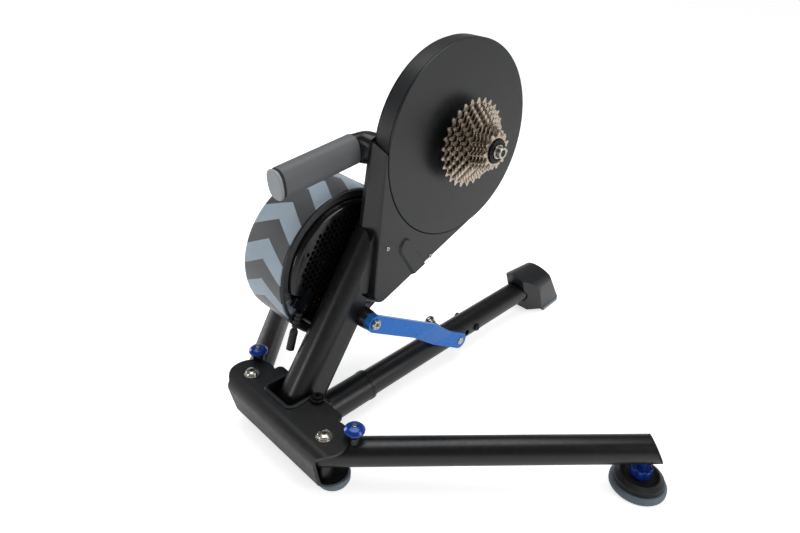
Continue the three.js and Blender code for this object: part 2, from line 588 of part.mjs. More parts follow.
function makeSideLeg(name, side) {
  const turn = side > 0 ? radians(sideLeg.openDegrees) : Math.PI - radians(sideLeg.openDegrees);
  const group = groupAt(trainer, [side * legPivot.x, 0, 0], [0, 0, turn]);
  const riseAt = (x) => sideLeg.z + x * Math.tan(radians(sideLeg.rise));
  const bar = (radius, from, to) => {
    const ends = [from, to].map((x) => arc(0, riseAt(x), radius));
    return loft('x', ends[0], from, ends[1], to);
  };
  const slotTop = riseAt(springPin.at) + sideLeg.radius;
  const footX = sideLeg.length - sideLeg.footFromEnd;
  const tubeBottom = riseAt(footX) - sideLeg.radius;
  const studTop = tubeBottom + foot.studRise;
  const sleeveLow = bracket.bottom + bracket.sheet + seat;
  const sleeveHigh = bracket.top - bracket.sheet - seat;
  const pinHole = springPin.radius + seat;
  const collarLow = riseAt(springPin.at);
  const collar = cut(
    rod('z', springPin.at, 0, springPin.collar, collarLow, springPin.collarTop),
    rod('z', 0, 0, bracket.lobe + springPin.lobeClearance, collarLow, springPin.collarTop + overrun),
  );
  // All that lies beyond the leg's slanted end, or beyond a plane moved along from it
  const endHeight = riseAt(sideLeg.length);
  const beyond = (offset) => {
    const low = endHeight - sideLeg.radius * 2;
    const high = endHeight + sideLeg.radius * 2;
    const endAt = (z) => sideLeg.length + offset - sideLeg.endSlope * (z - endHeight);
    return prism('y', [
      [low, endAt(low)],
      [low, sideLeg.length + sideLeg.radius * 4],
      [high, sideLeg.length + sideLeg.radius * 4],
      [high, endAt(high)],
    ].map(([z, x]) => new THREE.Vector2(z, x)), -sideLeg.radius * 2, sideLeg.radius * 2);
  };
  const near = sideLeg.length - sideLeg.radius;
  const far = sideLeg.length + sideLeg.radius;
  const bore = sideLeg.radius - sideLeg.wall;
  piece(group, `${name}_leg`, cut(
    join(
      cut(bar(sideLeg.radius, sideLeg.start, far), bar(bore, 0, far + overrun), beyond(0)),
      collar,
      rod('z', 0, 0, legPivot.bolt + sideLeg.pivotSleeve, sleeveLow, sleeveHigh),
    ),
    rod('z', 0, 0, legPivot.bolt + seat, 0, bracket.top),
    rod('z', springPin.at, 0, pinHole, riseAt(springPin.at), springPin.collarTop + overrun, roundSmall),
    rod('z', footX, 0, foot.stud + seat, tubeBottom - overrun, riseAt(footX)),
  ), 'powderCoat');

  piece(group, `${name}_leg_cap`, cut(
    join(
      bar(sideLeg.radius, near, far).intersect(beyond(seat)),
      bar(bore - seat, near, far).intersect(beyond(-sideLeg.plug)),
    ),
    beyond(seat + sideLeg.capThick),
  ), 'darkRubber');

  piece(group, `${name}_spring_pin`, rod('z', springPin.at, 0, springPin.radius,
    slotTop - springPin.below, springPin.knobBottom - seat, roundSmall), 'stainless');

  const knobTop = springPin.knobBottom + springPin.knobHeight;
  const waist = springPin.knobBottom + springPin.knobHeight / 3;
  piece(group, `${name}_knob`, turned('z', springPin.at, 0, [
    [springPin.knobBottom, 0],
    [springPin.knobBottom, springPin.knobFlat],
    [waist, springPin.knob],
    [waist + springPin.knobBand, springPin.knob],
    [knobTop - springPin.knobEdge, springPin.knobCrown],
    [knobTop, springPin.screw],
    [knobTop, 0],
  ]), 'blueKnob');

  piece(group, `${name}_foot_nut`, cut(
    turned('z', footX, 0, [
      [foot.discTop - foot.dishDepth + seat, 0],
      [foot.discTop - foot.dishDepth + seat, foot.neck],
      [foot.discTop + seat, foot.neck],
      [foot.discTop + seat, foot.nut],
      [foot.discTop + foot.nutHeight, foot.nut],
      [foot.discTop + foot.nutHeight + foot.nutEdge, foot.nut - foot.nutEdge],
      [foot.discTop + foot.nutHeight + foot.nutEdge, foot.stud],
      [studTop, foot.stud],
      [studTop, 0],
    ]),
    ...Array.from({ length: foot.nutFlutes }, (_, k) => {
      const angle = (2 * Math.PI * k) / foot.nutFlutes;
      const out = foot.nut + foot.nutFlute / 3;
      return rod('z', footX + out * Math.cos(angle), out * Math.sin(angle), foot.nutFlute,
        0, studTop / 2 + foot.discTop, roundSmall / 3);
    }),
  ), 'blueKnob');

  piece(group, `${name}_foot_disc`, turned('z', footX, 0, [
    [foot.rubberHeight + seat, 0],
    [foot.rubberHeight + seat, foot.disc],
    [foot.discTop - foot.discEdge, foot.disc],
    [foot.discTop, foot.dish],
    [foot.discTop - foot.dishDepth, foot.dish - foot.dishDepth],
    [foot.discTop - foot.dishDepth, 0],
  ]), 'darkSteel');

  piece(group, `${name}_foot_rubber`, turned('z', footX, 0, [
    [0, 0],
    [0, foot.rubber - foot.rubberEdge],
    [foot.rubberEdge, foot.rubber],
    [foot.rubberHeight - foot.rubberShoulder, foot.rubber],
    [foot.rubberHeight, foot.rubberLip],
    [foot.rubberHeight, 0],
  ]), 'rubber');
}

/** A bar of the post's rounded section, shrunk by an inset, between two places on its axis. */
function postBar(inset, from, to) {
  const middle = (post.left + post.right) / 2;
  const halfWidth = (post.right - post.left) / 2 - inset;
  const halfDepth = post.depth / 2 - inset;
  const corner = post.corner - inset;
  const outline = rounded([
    [-halfWidth, -halfDepth, corner],
    [halfWidth, -halfDepth, corner],
    [halfWidth, halfDepth, corner],
    [-halfWidth, halfDepth, corner],
  ], cornerSteps + 2);
  const shape = new THREE.Shape(outline);
  const geometry = new THREE.ExtrudeGeometry(shape, { depth: to - from, bevelEnabled: false });
  geometry.translate(0, 0, from);
  geometry.rotateX(radians(post.leanDegrees) - Math.PI / 2);
  geometry.translate(middle, post.pivotY + post.axisBack, post.pivotZ);
  return solid(geometry);
}

function makePost() {
  const plateLeft = cover.back - seat - plate.thick;
  const notchLeft = plateLeft - seat;
  const housing = join(
    prism('x', wedgeBack(post.housingGap + seat, 0), notchLeft, post.right + overrun),
    rod('x', axle.y, axle.z, cover.radius + post.housingGap, notchLeft, post.right + overrun, roundFine),
    pocket(post.housingGap, notchLeft, post.right + overrun),
  );
  const lean = radians(post.leanDegrees);
  const flywheelAlong = (flywheelAxis.y - post.pivotY - post.axisBack) * Math.cos(lean)
    + (flywheelAxis.z - post.pivotZ) * Math.sin(lean);
  const upper = cut(
    cut(postBar(0, 0, flywheelAlong + post.topPast), postBar(post.wall, post.hollowFrom, post.hollowTo)),
    box([post.left - overrun, post.pivotY - post.trim, post.pivotZ - post.trim],
      [post.right + overrun, post.pivotY + post.trim, post.pivotZ]),
    box([post.left - overrun, post.pivotY + post.toeForward, 0],
      [post.right + overrun, post.pivotY + post.trim, post.pivotZ + post.toeRise]),
  );
  const past = post.right + overrun;
  const lug = rod('x', post.pivotY, post.pivotZ, post.lug,
    post.left + post.lugInset, post.right - post.lugInset);
  const linkStud = rod('x', link.bossY, link.bossZ, stud.radius,
    post.right - stud.root, link.barrelLeft - seat);
  piece(trainer, 'post', cut(
    join(upper, lug, linkStud),
    housing,
    rod('x', post.pivotY, post.pivotZ, post.bolt + seat, post.left - overrun, past, roundSmall),
    rod('x', flywheelAxis.y, flywheelAxis.z, bearing.radius + seat, post.left - overrun, notchLeft + overrun),
    rod('x', link.bossY, link.bossZ, stud.bolt + seat, post.right, link.barrelLeft + overrun),
  ), 'powderCoat');

  const headRight = link.upperFace + link.screwHead;
  piece(trainer, 'link_screw', turned('x', link.bossY, link.bossZ, [
    [post.right + seat, 0],
    [post.right + seat, stud.bolt],
    [link.upperFace + seat, stud.bolt],
    [link.upperFace + seat, link.screw],
    [headRight, link.screw],
    [headRight, link.screwSocket],
    [headRight - link.screwHead * link.socketShare, 0],
  ]), 'stainless');
}

function makeHousing() {
  const plateBack = cover.face - cover.wall;
  const outer = loft('x', wedgeBack(0), cover.back, wedgeFront(0), cover.face - cover.recess);
  const inner = loft('x', wedgeBack(-cover.wall, cover.wall * 3), cover.back - overrun,
    wedgeFront(-cover.wall, cover.wall * 3), cover.face - cover.recess - cover.wall);
  const fly = (radius, from, to) => rod('x', flywheelAxis.y, flywheelAxis.z, radius, from, to);
  const hub = (radius, from, to, steps = roundPlain) => rod('x', axle.y, axle.z, radius, from, to, steps);
  // Each screw lies inside one straight edge of the lower cover, so far along it from the tip
  const byEdge = (inset, fromTip, atTip, atDisc) => {
    const edge = wedgeFront(-inset);
    const tip = edge.at(atTip);
    return tip.clone().addScaledVector(edge.at(atDisc).sub(tip).normalize(), fromTip);
  };
  const rearScrew = byEdge(coverScrew.rearInset, coverScrew.rearFromTip, 1, 0);
  const frontScrew = byEdge(coverScrew.frontInset, coverScrew.frontFromTip, -3, -2);
  const screws = [
    ['cover_screw_rear', rearScrew.x, rearScrew.y],
    ['cover_screw_front', frontScrew.x, frontScrew.y],
  ];
  const lowerFace = cover.face - cover.recess;
  piece(trainer, 'lower_cover', cut(
    join(outer, pocket(0, cover.back, cover.pocketFace)),
    inner,
    pocket(-cover.wall, cover.back - overrun, cover.pocketFace - cover.wall),
    hub(cover.radius + cover.arcGap, cover.back - overrun, cover.face + overrun, roundFine),
    ...screws.map(([, y, z]) => (
      rod('x', y, z, coverScrew.radius / 2 + seat, cover.back, lowerFace + overrun, roundSmall))),
  ), 'coverPlastic');
  screws.forEach(([name, y, z]) => piece(trainer, name, turned('x', y, z, [
    [lowerFace - cover.wall - seat, 0],
    [lowerFace - cover.wall - seat, coverScrew.radius / 2],
    [lowerFace + seat, coverScrew.radius / 2],
    [lowerFace + seat, coverScrew.radius],
    [lowerFace + coverScrew.rise, coverScrew.radius * coverScrew.topShare],
    [lowerFace + coverScrew.rise, 0],
  ], roundSmall), 'stainless'));

  const gap = seat * 2;
  const clear = loft('x', wedgeBack(gap, 0), cover.back - overrun, wedgeFront(gap, 0), plateBack - seat);
  piece(trainer, 'disc_cover', cut(
    join(
      turned('x', axle.y, axle.z, [
        [plateBack, cover.hub],
        [plateBack, cover.radius],
        [cover.face - cover.rimEdge / 2, cover.radius],
        [cover.face, cover.radius - cover.rimEdge / 2],
        [cover.face, cover.hub],
      ], roundFine),
      cut(
        cut(hub(cover.radius, cover.back, cover.face - cover.wall / 2, roundFine),
          hub(cover.radius - cover.wall, cover.back - overrun, cover.face, roundFine)),
        clear,
      ),
    ),
  ), 'coverPlastic');

  const plateRight = cover.back - seat;
  const plateLeft = plateRight - plate.thick;
  piece(trainer, 'frame_plate', cut(
    join(
      hub(plate.rim, plateLeft, plateRight, roundFine),
      prism('x', wedge(plate.proud, cover.tipBackY, cover.tipBackZ, plate.tip, 0), plateLeft, plateRight),
      fly(plate.boss, plateLeft, plateRight),
    ),
    hub(axle.radius + seat, plateLeft - overrun, plateRight + overrun),
    fly(flywheel.shaft + seat, plateLeft - overrun, plateRight + overrun),
  ), 'powderCoat');

  const leftRight = plateLeft - seat;
  piece(trainer, 'left_cover', turned('x', axle.y, axle.z, [
    [leftRight, axle.radius + seat],
    [leftRight, leftCover.radius],
    [leftRight - leftCover.thick, leftCover.radius - leftCover.thick],
    [leftRight - leftCover.thick - leftCover.dome, leftCover.hub],
    [leftRight - leftCover.thick - leftCover.dome, axle.radius + seat],
  ], roundFine), 'coverPlastic');

  const left = leftRight - leftCover.thick - leftCover.dome - seat;
  piece(trainer, 'axle', turned('x', axle.y, axle.z, [
    [axle.left, 0],
    [axle.left, spacer.radius - spacer.edge],
    [axle.left + spacer.edge, spacer.radius],
    [left - spacer.flangeThick, spacer.radius],
    [left - spacer.flangeThick, spacer.flange],
    [left, spacer.flange],
    [left, axle.radius],
    [axle.right, axle.radius],
    [axle.right, 0],
  ]), 'darkSteel');
}

/** The outline of a sprocket with a given number of teeth. */
function sprocketOutline(teeth) {
  const pitchRadius = chain.pitch / (2 * Math.sin(Math.PI / teeth));
  const root = pitchRadius - chain.roller / 2;
  const tip = pitchRadius + chain.toothRise;
  const toothShares = [[-0.25, 0], [0.1, 1]];
  return Array.from({ length: teeth }, (_, k) => toothShares.map(([turnShare, riseShare]) => {
    const angle = (2 * Math.PI * (k + turnShare)) / teeth;
    const radius = root + (tip - root) * riseShare;
    return new THREE.Vector2(radius * Math.cos(angle), radius * Math.sin(angle));
  })).flat();
}

function makeDriveTrain() {
  const hubGroup = groupAt(trainer, [0, axle.y, axle.z]);
  const middle = (largePulley.left + largePulley.right) / 2;
  piece(hubGroup, 'large_pulley', cut(
    turned('x', 0, 0, [
      [largePulley.left, axle.radius + seat],
      [largePulley.left, largePulley.hub],
      [middle - largePulley.web / 2, largePulley.hub],
      [middle - largePulley.web / 2, largePulley.radius - largePulley.rim],
      [largePulley.left, largePulley.radius - largePulley.rim],
      [largePulley.left, largePulley.radius],
      [largePulley.right, largePulley.radius],
      [largePulley.right, largePulley.radius - largePulley.rim],
      [middle + largePulley.web / 2, largePulley.radius - largePulley.rim],
      [middle + largePulley.web / 2, largePulley.hub],
      [largePulley.hubRight, largePulley.hub],
      [largePulley.hubRight, axle.radius + seat],
    ]),
    ...Array.from({ length: largePulley.holes }, (_, k) => {
      const angle = (2 * Math.PI * k) / largePulley.holes;
      return rod('x', largePulley.holeAt * Math.cos(angle), largePulley.holeAt * Math.sin(angle),
        largePulley.hole, largePulley.left, largePulley.right, roundSmall);
    }),
  ), 'darkSteel');

  const cassetteEnd = cassette.firstX + cassette.step * (cogTeeth.length - 1) + chain.tooth / 2;
  piece(hubGroup, 'freehub', turned('x', 0, 0, [
    [freehub.left, axle.radius + seat],
    [freehub.left, freehub.flange],
    [freehub.left + freehub.flangeThick, freehub.flange],
    [freehub.left + freehub.flangeThick, cassette.bore - seat],
    [cassetteEnd - seat, cassette.bore - seat],
    [cassetteEnd - seat, axle.radius + seat],
  ]), 'darkSteel');

  clusters.forEach(({ name, from, to, hubShare }) => {
    const left = cassette.firstX + cassette.step * from - chain.tooth / 2;
    const last = to === cogTeeth.length;
    const right = last ? cassetteEnd : cassette.firstX + cassette.step * to - chain.tooth / 2 - seat;
    const half = chain.tooth / 2;
    const hub = rod('x', 0, 0, cassette.hub * hubShare, left + half, last ? right - half : right);
    const cogs = cogTeeth.slice(from, to).map((teeth, k) => {
      const start = left + cassette.step * k;
      return prism('x', sprocketOutline(teeth), start, start + chain.tooth);
    });
    const bore = rod('x', 0, 0, cassette.bore, left - overrun, right + overrun);
    piece(hubGroup, name, cut(join(hub, ...cogs), bore), 'nickel');
  });

  piece(hubGroup, 'lockring', turned('x', 0, 0, [
    [cassetteEnd + seat, axle.radius + seat],
    [cassetteEnd + seat, lockring.radius],
    [cassetteEnd + lockring.thick, lockring.step],
    [cassetteEnd + lockring.thick, axle.radius + seat],
  ]), 'darkSteel');
  piece(hubGroup, 'axle_end_cap', turned('x', 0, 0, [
    [axle.right + seat, 0],
    [axle.right + seat, endCap.flange],
    [axle.right + seat + endCap.flangeThick, endCap.flange],
    [axle.right + seat + endCap.flangeThick, endCap.nose],
    [axle.right + endCap.length, endCap.nose],
    [axle.right + endCap.length, endCap.socket],
    [axle.right + endCap.length - endCap.socketDepth, endCap.socket],
    [axle.right + endCap.length - endCap.socketDepth, 0],
  ]), 'stainless');

  const loop = (grow) => strap(
    [axle.y, axle.z, largePulley.radius + belt.gap + grow],
    [flywheelAxis.y, flywheelAxis.z, smallPulley.radius + belt.gap + grow],
  );
  const beltLeft = largePulley.left + belt.side;
  const beltRight = largePulley.right - belt.side;
  piece(trainer, 'belt', prism('x', loop(belt.thick), beltLeft, beltRight, [loop(0)]), 'beltRubber');
}

function makeFlywheel() {
  const group = groupAt(trainer, [0, flywheelAxis.y, flywheelAxis.z]);
  const inner = flywheel.radius - flywheel.rim;
  piece(group, 'flywheel', turned('x', 0, 0, [
    [flywheel.front, inner],
    [flywheel.front, flywheel.radius],
    [flywheel.back, flywheel.radius],
    [flywheel.back, inner],
    [flywheel.webLeft, inner - flywheel.rim / 2],
    [flywheel.webLeft, flywheel.shaft + seat],
    [flywheel.hubFront, flywheel.shaft + seat],
    [flywheel.hubFront, flywheel.hub],
    [flywheel.webLeft + flywheel.web, flywheel.hub],
    [flywheel.webLeft + flywheel.web, inner],
  ], roundFine), 'drumPaint');

  const pulleyLeft = largePulley.left + belt.side - seat;
  const pulleyRight = largePulley.right - belt.side + seat;
  piece(group, 'flywheel_shaft', turned('x', 0, 0, [
    [flywheel.webLeft, 0],
    [flywheel.webLeft, flywheel.shaft],
    [pulleyLeft - smallPulley.flangeThick, flywheel.shaft],
    [pulleyLeft - smallPulley.flangeThick, smallPulley.flange],
    [pulleyLeft, smallPulley.flange],
    [pulleyLeft, smallPulley.radius],
    [pulleyRight, smallPulley.radius],
    [pulleyRight, smallPulley.flange],
    [pulleyRight + smallPulley.flangeThick / 2, smallPulley.flange],
    [pulleyRight + smallPulley.flangeThick / 2, 0],
  ]), 'steel');

  const plateLeft = cover.back - seat - plate.thick;
  piece(group, 'bearing_housing', turned('x', 0, 0, [
    [bearing.left, flywheel.shaft + seat],
    [bearing.left, bearing.radius],
    [plateLeft - seat, bearing.radius],
    [plateLeft - seat, flywheel.shaft + seat],
  ]), 'darkSteel');

  piece(group, 'brake_stator', turned('x', 0, 0, [
    [brake.back, bearing.radius + seat],
    [(brake.back + brake.front - brake.hubThick) / 2, brake.hub],
    [brake.back, brake.radius * brake.innerShare],
    [brake.back, brake.radius],
    [brake.front, brake.radius],
    [brake.front, brake.radius * brake.innerShare],
    [(brake.back + brake.front + brake.hubThick) / 2, brake.hub],
    [brake.front, bearing.radius + seat],
  ]), 'copper');

  // The window beside the cable clip, open to the flywheel
  const outerFrom = radians(recess.fromDegrees);
  const innerFrom = radians(recess.innerFromDegrees);
  const until = radians(recess.toDegrees);
  const opening = prism('x', [
    ...arc(0, 0, recess.outer, outerFrom, until, cornerSteps * 2),
    ...arc(0, 0, recess.inner, innerFrom, until, cornerSteps * 2).reverse(),
  ], ring.face - ring.thick - overrun, vent.face + overrun);
  piece(group, 'cover_ring', cut(turned('x', 0, 0, [
    [ring.face - ring.thick, vent.shoulder + seat],
    [ring.face - ring.thick, ring.radius],
    [ring.face, ring.radius - ring.thick / 2],
    [ring.face, vent.shoulder + seat],
  ], roundFine), opening), 'coverPlastic');

  const bore = bearing.radius + seat;
  const ventBack = ring.face - ring.thick;
  const vents = turned('x', 0, 0, [
    [ventBack, vent.shoulder - vent.thick],
    [ventBack, vent.shoulder],
    [vent.face - vent.bend, vent.shoulder - vent.bend / 2],
    [vent.face - vent.bend / 3, vent.flat + vent.bend / 2],
    [vent.face, vent.flat - vent.bend / 2],
    [vent.face, bore],
    [vent.face - vent.thick, bore],
    [vent.face - vent.thick, vent.flat - vent.bend],
  ], roundFine);
  const clipGroup = radians(clip.atDegrees);
  const clipY = clip.out * Math.cos(clipGroup);
  const clipZ = clip.out * Math.sin(clipGroup);
  const clipBlock = (grow, from, to) => {
    const corners = rounded([
      [-clip.width / 2 - grow, -clip.height / 2 - grow, clip.corner],
      [clip.width / 2 + grow, -clip.height / 2 - grow, clip.corner],
      [clip.width / 2 + grow, clip.height / 2 + grow, clip.corner],
      [-clip.width / 2 - grow, clip.height / 2 + grow, clip.corner],
    ]).map((p) => p.rotateAround(new THREE.Vector2(), radians(clip.turnDegrees)));
    return prism('x', corners.map((p) => p.add(new THREE.Vector2(clipY, clipZ))), from, to);
  };
  const clipRight = vent.face + clip.proud;
  const clipLeft = clipRight - clip.thick;
  const clipSeat = clipBlock(seat, ventBack - overrun, clipRight + overrun);
  piece(group, 'vent_cover', cut(vents, opening, clipSeat), 'glossPlastic');
  piece(group, 'cable_clip', cut(
    clipBlock(0, clipLeft, clipRight),
    clipBlock(-clip.frame, clipRight - clip.thick / 3, clipRight + overrun),
  ), 'glossPlastic');
}

function makeHandle() {
  const group = groupAt(trainer, [handle.x, handle.rearY, handle.rearZ], [radians(handle.riseDegrees), 0, 0]);
  // The grip's flattened oval, flat on its sides and round above and below
  const oval = (halfHeight, halfWidth) => arc(0, 0, 1, 0, 2 * Math.PI, roundPlain).map((p) => {
    const power = 2 / handle.bulge;
    return new THREE.Vector2(
      Math.sign(p.x) * Math.abs(p.x) ** power * halfHeight,
      Math.sign(p.y) * Math.abs(p.y) ** power * halfWidth,
    );
  });
  const grip = oval(handle.halfHeight, handle.halfWidth);
  const coreHeight = handle.halfHeight - handle.gripWall;
  const coreWidth = handle.halfWidth - handle.gripWall;
  const core = oval(coreHeight, coreWidth);
  const coreHole = oval(coreHeight + seat, coreWidth + seat);
  piece(group, 'handle_grip', prism('y', grip, 0, handle.length, [coreHole]), 'gripRubber');
  piece(group, 'handle_cap', join(
    loft('y', oval(handle.halfHeight - handle.capRound, handle.halfWidth - handle.capRound),
      -handle.capLength, grip, -handle.capLength / 2),
    prism('y', grip, -handle.capLength / 2, -handle.ringLength),
    prism('y', oval(handle.halfHeight - handle.ringInset, handle.halfWidth - handle.ringInset),
      -handle.ringLength, -seat),
  ), 'capPlastic');

  // The arm: a core through the grip, then an elbow that turns to the frame plate
  const plateLeft = cover.back - seat - plate.thick - seat;
  const reach = plateLeft - handle.x;
  const bendFrom = handle.length + handle.armRun;
  const template = oval(1, 1);
  const armRing = (x, y, turn, halfHeight, halfWidth) => template.flatMap((p) => [
    x + p.y * halfWidth * Math.cos(turn), y - p.y * halfWidth * Math.sin(turn), p.x * halfHeight,
  ]);
  const bend = Array.from({ length: handle.armSteps + 1 }, (_, k) => {
    const turn = (Math.PI / 2) * (k / handle.armSteps);
    return armRing(handle.armReach * (1 - Math.cos(turn)), bendFrom + handle.armReach * Math.sin(turn), turn,
      handle.armHalfHeight, handle.armHalfWidth);
  });
  const startHeight = handle.halfHeight - handle.armInset;
  const startWidth = handle.halfWidth - handle.armInset;
  const rings = [
    armRing(0, handle.length + seat, 0, startHeight, startWidth),
    ...bend,
    armRing(reach, bendFrom + handle.armReach, Math.PI / 2, handle.armHalfHeight, handle.armHalfWidth),
  ];
  piece(group, 'handle_arm', join(
    solid(skin(rings, template, template)),
    prism('y', core, handle.capLength / 2, handle.length + handle.armRun / 2),
  ), 'powderCoat');
}

function makeLead() {
  const lean = radians(lead.bootLeanDegrees);
  const boot = groupAt(trainer, [lead.x, lead.startY, lead.startZ], [-lean, 0, 0]);
  const ribStep = lead.bootLength / lead.ribs;
  const ribs = Array.from({ length: lead.ribs }, (_, k) => {
    const top = -k * ribStep;
    return [
      [top, lead.ribRadius],
      [top - ribStep * lead.ribShare, lead.ribRadius],
      [top - ribStep * lead.ribSlopeShare, lead.ribRoot],
    ];
  }).flat();
  const profile = [[0, 0], ...ribs, [-lead.bootLength, 0]];
  piece(boot, 'cable_boot', turned('z', 0, 0, profile, roundSmall), 'darkRubber');
  const reach = lead.bootLength + seat * 3;
  const plug = groupAt(trainer, [
    lead.x, lead.startY - reach * Math.sin(lean), lead.startZ - reach * Math.cos(lean),
  ], [-radians(lead.connectorLeanDegrees), 0, 0]);
  piece(plug, 'power_connector', turned('z', 0, 0, [
    [0, 0],
    [0, lead.connectorNeck],
    [-lead.neckLength, lead.connector],
    [-lead.connectorLength, lead.connector],
    [-lead.connectorLength, lead.socket],
    [-lead.connectorLength + lead.socketDepth, lead.socket],
    [-lead.connectorLength + lead.socketDepth, 0],
  ], roundSmall), 'darkRubber');
}

function makeLink() {
  const pinY = position.places[position.engaged];
  const pinZ = legZ(pinY);
  const bossTilt = radians(link.bossDegrees);
  const endTilt = radians(link.endDegrees);
  const flat = prism('x', [
    ...arc(link.bossY, link.bossZ, link.bossRadius, bossTilt, bossTilt + Math.PI),
    ...linkLowerEdge.map(([y, z]) => new THREE.Vector2(y, z)),
    ...arc(pinY, pinZ, link.endRadius, endTilt - Math.PI, endTilt),
    ...linkUpperEdge.map(([y, z]) => new THREE.Vector2(y, z)),
  ], link.lowerFace - link.thick - overrun, link.upperFace + overrun);
  const high = link.bossZ + link.bossRadius * 2;
  const ribbon = [
    [high, link.upperFace],
    [link.bendTop, link.upperFace],
    [link.bendBottom, link.lowerFace],
    [0, link.lowerFace],
    [0, link.lowerFace - link.thick],
    [link.bendBottom, link.lowerFace - link.thick],
    [link.bendTop, link.upperFace - link.thick],
    [high, link.upperFace - link.thick],
  ].map(([z, x]) => new THREE.Vector2(z, x));
  const bushHole = link.bush + seat;
  piece(trainer, 'link_arm', cut(
    join(
      flat.intersect(prism('y', ribbon, 0, pinY + link.endRadius * 2)),
      rod('x', link.bossY, link.bossZ, link.bossRadius, link.barrelLeft, link.upperFace - link.thick / 2),
    ),
    rod('x', link.bossY, link.bossZ, stud.bolt + seat, link.barrelLeft - overrun, link.upperFace + overrun),
    rod('x', pinY, pinZ, bushHole, 0, link.upperFace + overrun, roundSmall),
  ), 'blueCoat');
  piece(trainer, 'link_bush', turned('x', pinY, pinZ, [
    [link.lowerFace - link.thick, 0],
    [link.lowerFace - link.thick, link.bush],
    [link.lowerFace + seat, link.bush],
    [link.lowerFace + seat, link.bushHead],
    [link.lowerFace + link.bushRise + seat, link.bushHead - link.bushRise],
    [link.lowerFace + link.bushRise + seat, 0],
  ], roundSmall), 'stainless');

  const pinLeft = crossPin.left + seat;
  piece(trainer, 'cross_pin', rod('x', pinY, pinZ, crossPin.radius, pinLeft, crossPin.right, roundSmall),
    'stainless');
  const neckEnd = crossPin.left - crossPin.neckLength;
  piece(trainer, 'cross_pin_knob', turned('x', pinY, pinZ, [
    [crossPin.left, 0],
    [crossPin.left, crossPin.neck],
    [neckEnd, crossPin.neck],
    [neckEnd - crossPin.groove, crossPin.knob - crossPin.knobRim],
    [neckEnd - crossPin.knobRim, crossPin.knob],
    [crossPin.knobLeft + crossPin.knobRim, crossPin.knob],
    [crossPin.knobLeft, crossPin.knob - crossPin.knobRim],
    [crossPin.knobLeft, 0],
  ]), 'stainless');
}

makeBase();
makeCentreLeg();
makeSideLeg('right', 1);
makeSideLeg('left', -1);
makePost();
makeHousing();
makeDriveTrain();
makeFlywheel();
makeHandle();
makeLead();
makeLink();

const bounds = new THREE.Box3().setFromObject(trainer, true);
trainer.position.y = -(bounds.min.y + bounds.max.y) / 2;

export default trainer;
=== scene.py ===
"""A direct drive bike trainer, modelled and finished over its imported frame. Blender 4.5, metres, +Z up.

Sizes are the design's millimetres: X across the bike with + on the drive side, Y forwards, Z up from the
floor, measured from the floor between the two bolts that the side legs turn on.
"""

import logging
import math
from collections.abc import Sequence
from dataclasses import dataclass, field
from enum import Enum

import bpy
from mathutils import Matrix, Vector


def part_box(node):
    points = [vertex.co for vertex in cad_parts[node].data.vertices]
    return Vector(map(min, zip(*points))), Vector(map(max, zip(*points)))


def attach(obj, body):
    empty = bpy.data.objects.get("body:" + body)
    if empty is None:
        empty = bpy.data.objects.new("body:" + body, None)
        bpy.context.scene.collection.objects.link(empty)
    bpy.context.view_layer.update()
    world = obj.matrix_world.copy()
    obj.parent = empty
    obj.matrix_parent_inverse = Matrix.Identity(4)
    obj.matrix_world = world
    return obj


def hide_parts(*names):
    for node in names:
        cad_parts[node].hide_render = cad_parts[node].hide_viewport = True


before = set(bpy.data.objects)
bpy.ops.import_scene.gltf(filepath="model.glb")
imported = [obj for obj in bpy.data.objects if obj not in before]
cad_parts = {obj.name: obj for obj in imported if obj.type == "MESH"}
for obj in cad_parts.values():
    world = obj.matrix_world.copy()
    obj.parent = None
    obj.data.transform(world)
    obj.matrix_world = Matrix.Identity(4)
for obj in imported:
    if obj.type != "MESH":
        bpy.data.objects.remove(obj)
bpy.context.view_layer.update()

LOG = logging.getLogger("trainer")
MM = 0.001
SEAT = 0.3
OVERRUN = 3.0
ROUND_LARGE = 160
ROUND_FINE = 96
ROUND = 64
ROUND_SMALL = 32
CORNER = 8
FULL_TURN = 2 * math.pi
SMOOTH_ANGLE = math.radians(32)

AXLE_Y, AXLE_Z = 279.4, 344.2
FLYWHEEL_Y, FLYWHEEL_Z = 131.5, 191.5
LEG_PIVOT = 71.6
POST_Y, POST_Z = 26.0, 38.0
LINK_Y, LINK_Z = 115.6, 144.8
LINK_BARREL = 19.5
WHITE = (1.0, 1.0, 1.0, 1.0)

Piece = bpy.types.Object
Outline = list[tuple[float, float]]


def datum() -> Vector:
    """The point on the floor between the two leg bolts, in the frame's metres."""
    low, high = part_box("leg_bolt_right")
    return Vector((0.0, (low.y + high.y) / 2, 0.0))


DATUM = datum()


class Axis(Enum):
    """A direction to build along, with the two that an outline is drawn in."""

    X = ((0, 1, 0), (0, 0, 1), (1, 0, 0))
    Y = ((0, 0, 1), (1, 0, 0), (0, 1, 0))
    Z = ((1, 0, 0), (0, 1, 0), (0, 0, 1))


class Join(Enum):
    """How one solid is combined with another."""

    CUT = "DIFFERENCE"
    ADD = "UNION"
    KEEP = "INTERSECT"


def place(axis: Axis, u: float = 0.0, v: float = 0.0, along: float = 0.0) -> Matrix:
    """Stands a drawing plane in the design.

    Args:
        axis: the direction that the piece is built along.
        u: the first place in the outline's plane, in millimetres.
        v: the second place in the outline's plane, in millimetres.
        along: the place along the axis, in millimetres.

    Returns:
        A matrix from millimetres in that plane to the frame's metres.
    """
    turn = Matrix(axis.value).transposed().to_4x4()
    return Matrix.Translation(DATUM) @ Matrix.Scale(MM, 4) @ turn @ Matrix.Translation((u, v, along))


